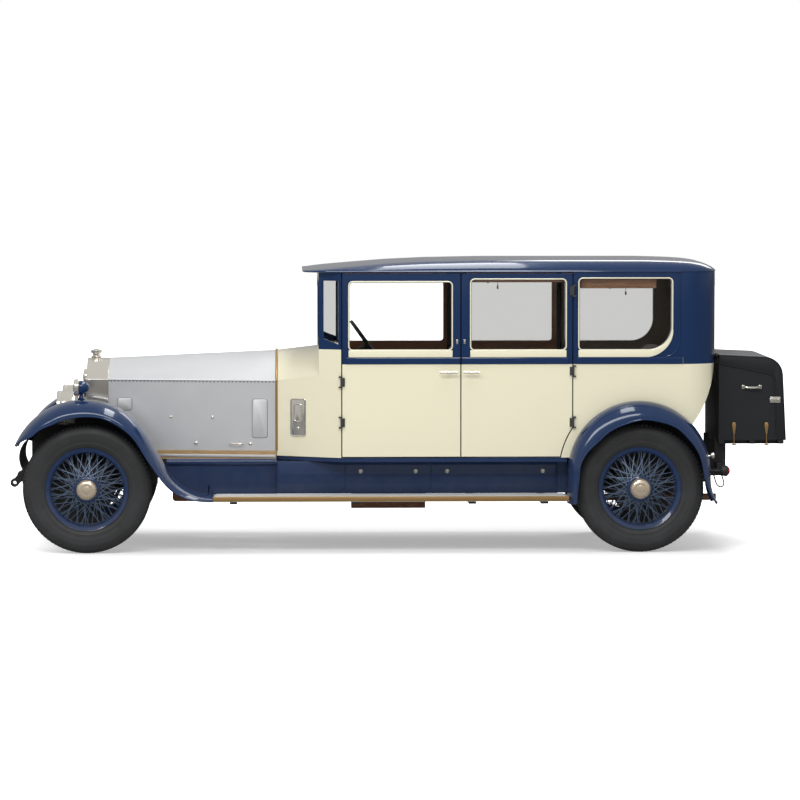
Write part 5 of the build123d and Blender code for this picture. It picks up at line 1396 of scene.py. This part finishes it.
def stuffed(name, low, high, ease):
    """A stuffed cushion that fills a box: a rounded block swollen by cloth simulation.
    No point moves farther than the cap."""
    margin = Vector((SWELL_ROOM, SWELL_ROOM, SWELL_ROOM))
    piece = slab(name, Vector(low) + margin, Vector(high) - margin, ease, 4)
    piece.data.remesh_voxel_size = CUSHION_GRID
    bpy.ops.object.voxel_remesh()
    rest = [vertex.co.copy() for vertex in piece.data.vertices]
    cloth = piece.modifiers.new("Cloth", "CLOTH")
    cloth.settings.use_pressure = True
    cloth.settings.uniform_pressure_force = SWELL_PRESSURE
    cloth.settings.effector_weights.gravity = 0.0
    cloth.settings.quality = 4
    for number in range(1, SWELL_FRAMES + 1):
        bpy.context.scene.frame_set(number)
    bpy.ops.object.modifier_apply(modifier=cloth.name)
    bpy.context.scene.frame_set(1)
    for vertex, start in zip(piece.data.vertices, rest):
        step = vertex.co - start
        if step.length > SWELL_CAP:
            vertex.co = start + step * SWELL_CAP / step.length
        for axis in range(3):
            vertex.co[axis] = min(high[axis], max(low[axis], vertex.co[axis]))
    return piece


def press_pleats(piece, low, high, face):
    """Presses sewn channels into the faces of a cushion that lie along a direction, then smooths it."""
    span = (high[1] - low[1]) / PLEATS
    for vertex in piece.data.vertices:
        phase = ((vertex.co.y - low[1]) / span) % 1.0
        depth = PLEAT_DEPTH * (1.0 - math.sqrt(max(0.0, 1.0 - (2.0 * phase - 1.0) ** 2))) ** 1.5
        vertex.co -= face * depth * max(0.0, vertex.normal.dot(face))
    apply_modifier(piece, "SUBSURF", levels=1, render_levels=1)


def add_cabin():
    """Dashboard and two stuffed benches with sewn channels."""
    fit(slab("dashboard", (-0.480, -0.655, 1.185), (-0.455, 0.655, 1.370), 0.006), "wood")
    for node in ("seat_front", "seat_rear"):
        low, high = (Vector(corner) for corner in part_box(node))
        back_x = low.x + 0.420
        seat_low, seat_high = (low.x + 0.004, low.y, low.z + 0.170), (back_x + 0.030, high.y, low.z + 0.378)
        back_low = (back_x + 0.020, low.y, low.z + 0.330)
        back_high = (high.x - 0.012, high.y, high.z - 0.002)
        seat = stuffed(f"{node}_cushion", seat_low, seat_high, CUSHION_ROUND)
        press_pleats(seat, seat_low, seat_high, Vector((0.0, 0.0, 1.0)))
        back = stuffed(f"{node}_squab", back_low, back_high, CUSHION_ROUND)
        press_pleats(back, back_low, back_high, Vector((-1.0, 0.0, 0.0)))
        base = slab(f"{node}_base", (low.x + 0.02, low.y + 0.01, low.z),
                    (low.x + 0.54, high.y - 0.01, low.z + 0.20), 0.012)
        bench = join(f"{node}_pleated", [seat, back, base], 60.0)
        fit(bench, "cloth", stands_for=[node])


# CAD nodes that keep their shape

def dress_nodes():
    """Gives each CAD node its finish."""
    by_finish = {"two_tone": [f"door_{corner}" for corner in CORNERS] + ["rear_body"],
                 "cream": ["scuttle"],
                 "navy": ["roof", "windscreen_frame", "valances"]
                 + [f"{kind}_{corner}" for kind in ("wing", "wheel") for corner in CORNERS],
                 "aluminium": ["bonnet_top", "bonnet_side_left", "bonnet_side_right"],
                 "nickel": ["radiator_shell", "radiator_grille", "radiator_cap", "headlamps", "side_lamps",
                            "tail_lamp"],
                 "black": ["knuckle_left", "knuckle_right", "track_rod", "front_axle", "rear_axle",
                           "leaf_springs", "chassis_frame", "board_brackets", "fuel_tank", "front_apron",
                           "luggage_rack", "body_frame", "steering_column"],
                 "iron": ["engine_block", "radiator_core"], "rust": ["exhaust"],
                 "glass": ["fixed_glass", "glass_rear_left", "glass_rear_right"],
                 "cloth": ["seat_front", "seat_rear"], "mat": ["running_boards"], "tan": ["bonnet_ledges"],
                 "rim": ["steering_wheel"], "leathercloth": ["trunk", "trunk_lid"],
                 "tyre": [f"tyre_{corner}" for corner in CORNERS]}
    for finish, names in by_finish.items():
        for name in names:
            paint(nodes[name], finish)


# Stage, light and camera

FLOOR_GREY = (0.80, 0.80, 0.80, 1.0)
FLOOR_MIRRORED = (0.16, 0.16, 0.16, 1.0)
FLOOR_GLOW = 0.36
FLOOR_THROUGH_GLASS = 0.62
FADE_LENGTH = 3.0


def add_stage():
    """A pale floor that turns white away from the car and is darker in reflections."""
    floor = settle(begin("plane", size=120.0), "floor", 0)
    plain = {"Specular IOR Level": 0.0, "Emission Color": WHITE}
    surface, tree, shader = new_finish("Pale floor", FLOOR_GREY, 0.9, more=plain)
    path = tree.nodes.new("ShaderNodeLightPath").outputs
    colour = mixed(tree, path["Is Glossy Ray"], FLOOR_GREY, FLOOR_MIRRORED)
    tree.links.new(colour, shader.inputs["Base Color"])
    place = split_place(tree)
    ahead = math_node(tree, "SUBTRACT", math_node(tree, "ABSOLUTE", place["X"], 0.0), 2.2)
    aside = math_node(tree, "SUBTRACT", math_node(tree, "ABSOLUTE", place["Y"], 0.0), 1.5)
    away = math_node(tree, "MAXIMUM", math_node(tree, "MULTIPLY", ahead, 3.0), aside)
    reach = math_node(tree, "DIVIDE", away, FADE_LENGTH, True)
    seen = math_node(tree, "MULTIPLY", path["Is Camera Ray"], math_node(tree, "ADD", FLOOR_GLOW, reach))
    through = math_node(tree, "MULTIPLY", path["Is Transmission Ray"], FLOOR_THROUGH_GLASS)
    tree.links.new(math_node(tree, "ADD", seen, through), shader.inputs["Emission Strength"])
    floor.data.materials.append(surface)


SOFT_LIGHT = 0.55
LOST_IN_GLASS = 0.63
MIRRORED_HORIZON = 0.34
MIRRORED_RISE = 0.16
# Columns: name, place, size across and along, power
LAMPS = [("Key", (-2.0, -7.5, 6.5), 8.0, 1.8, 345.0), ("Top", (0.5, 0.0, 7.5), 8.0, 1.4, 270.0),
         ("Back", (4.0, 7.0, 6.0), 6.0, 1.8, 120.0)]
LAMP_TARGET = Vector((0.0, 0.0, 0.8))


def add_light():
    """White surroundings, darker at the horizon in reflections, with soft overhead lamps."""
    world = bpy.data.worlds.new("Studio")
    bpy.context.scene.world = world
    world.use_nodes = True
    tree = world.node_tree
    background = tree.nodes["Background"]
    path = tree.nodes.new("ShaderNodeLightPath").outputs
    camera, glass, glossy = (path[f"Is {kind} Ray"] for kind in ("Camera", "Transmission", "Glossy"))
    above = math_node(tree, "SUBTRACT", split_place(tree, "Generated")["Z"], 0.06)
    height = math_node(tree, "DIVIDE", above, 0.5, True)
    mirrored = math_node(tree, "ADD", MIRRORED_HORIZON, math_node(tree, "MULTIPLY", height, MIRRORED_RISE))
    seen = math_node(tree, "MAXIMUM", camera, glass)
    soft = math_node(tree, "SUBTRACT", math_node(tree, "SUBTRACT", 1.0, seen), glossy, True)
    shown = math_node(tree, "SUBTRACT", seen, math_node(tree, "MULTIPLY", glass, LOST_IN_GLASS))
    lit = math_node(tree, "ADD", shown, math_node(tree, "MULTIPLY", soft, SOFT_LIGHT))
    lit = math_node(tree, "ADD", lit, math_node(tree, "MULTIPLY", glossy, mirrored))
    tree.links.new(lit, background.inputs["Strength"])
    background.inputs["Color"].default_value = WHITE
    for name, place, across, deep, power in LAMPS:
        lamp = bpy.data.lights.new(name, "AREA")
        lamp.shape = "RECTANGLE"
        lamp.size = across
        lamp.size_y = deep
        lamp.energy = power
        holder = bpy.data.objects.new(name, lamp)
        holder.location = place
        holder.rotation_euler = (LAMP_TARGET - Vector(place)).to_track_quat("-Z", "Y").to_euler()
        bpy.context.collection.objects.link(holder)


CAMERA_DISTANCE = 28.0
FRAME_WIDTH = 800 * 0.0069
CAMERA_TARGET = Vector((0.0, -0.80, 1.060))
CAMERA_TURN = math.radians(-1.6)
CAMERA_RISE = math.radians(3.35)


def add_camera():
    """A long lens on the car's left side, a little ahead of square and above."""
    back = Vector((math.sin(CAMERA_TURN) * math.cos(CAMERA_RISE),
                   -math.cos(CAMERA_TURN) * math.cos(CAMERA_RISE), math.sin(CAMERA_RISE)))
    lens = bpy.data.cameras.new("Camera")
    lens.angle = 2 * math.atan(FRAME_WIDTH / 2 / CAMERA_DISTANCE)
    lens.clip_end = 200.0
    camera = bpy.data.objects.new("Camera", lens)
    camera.location = CAMERA_TARGET + back * CAMERA_DISTANCE
    camera.rotation_euler = (-back).to_track_quat("-Z", "Y").to_euler()
    bpy.context.collection.objects.link(camera)
    bpy.context.scene.camera = camera


def main():
    """Builds the scene."""
    bpy.context.scene.view_settings.view_transform = "Standard"
    for step in (add_camera, add_light, add_stage, dress_nodes, add_wheels, add_wings, add_running_boards,
                 add_valance_trim, add_window_mouldings, add_bonnet_trim, add_body, add_headlamps,
                 add_side_lamps, add_tail_lamp, add_drip_rail, add_trunk_trim, add_side_fittings,
                 add_scuttle_trim, add_cabin):
        step()


main()
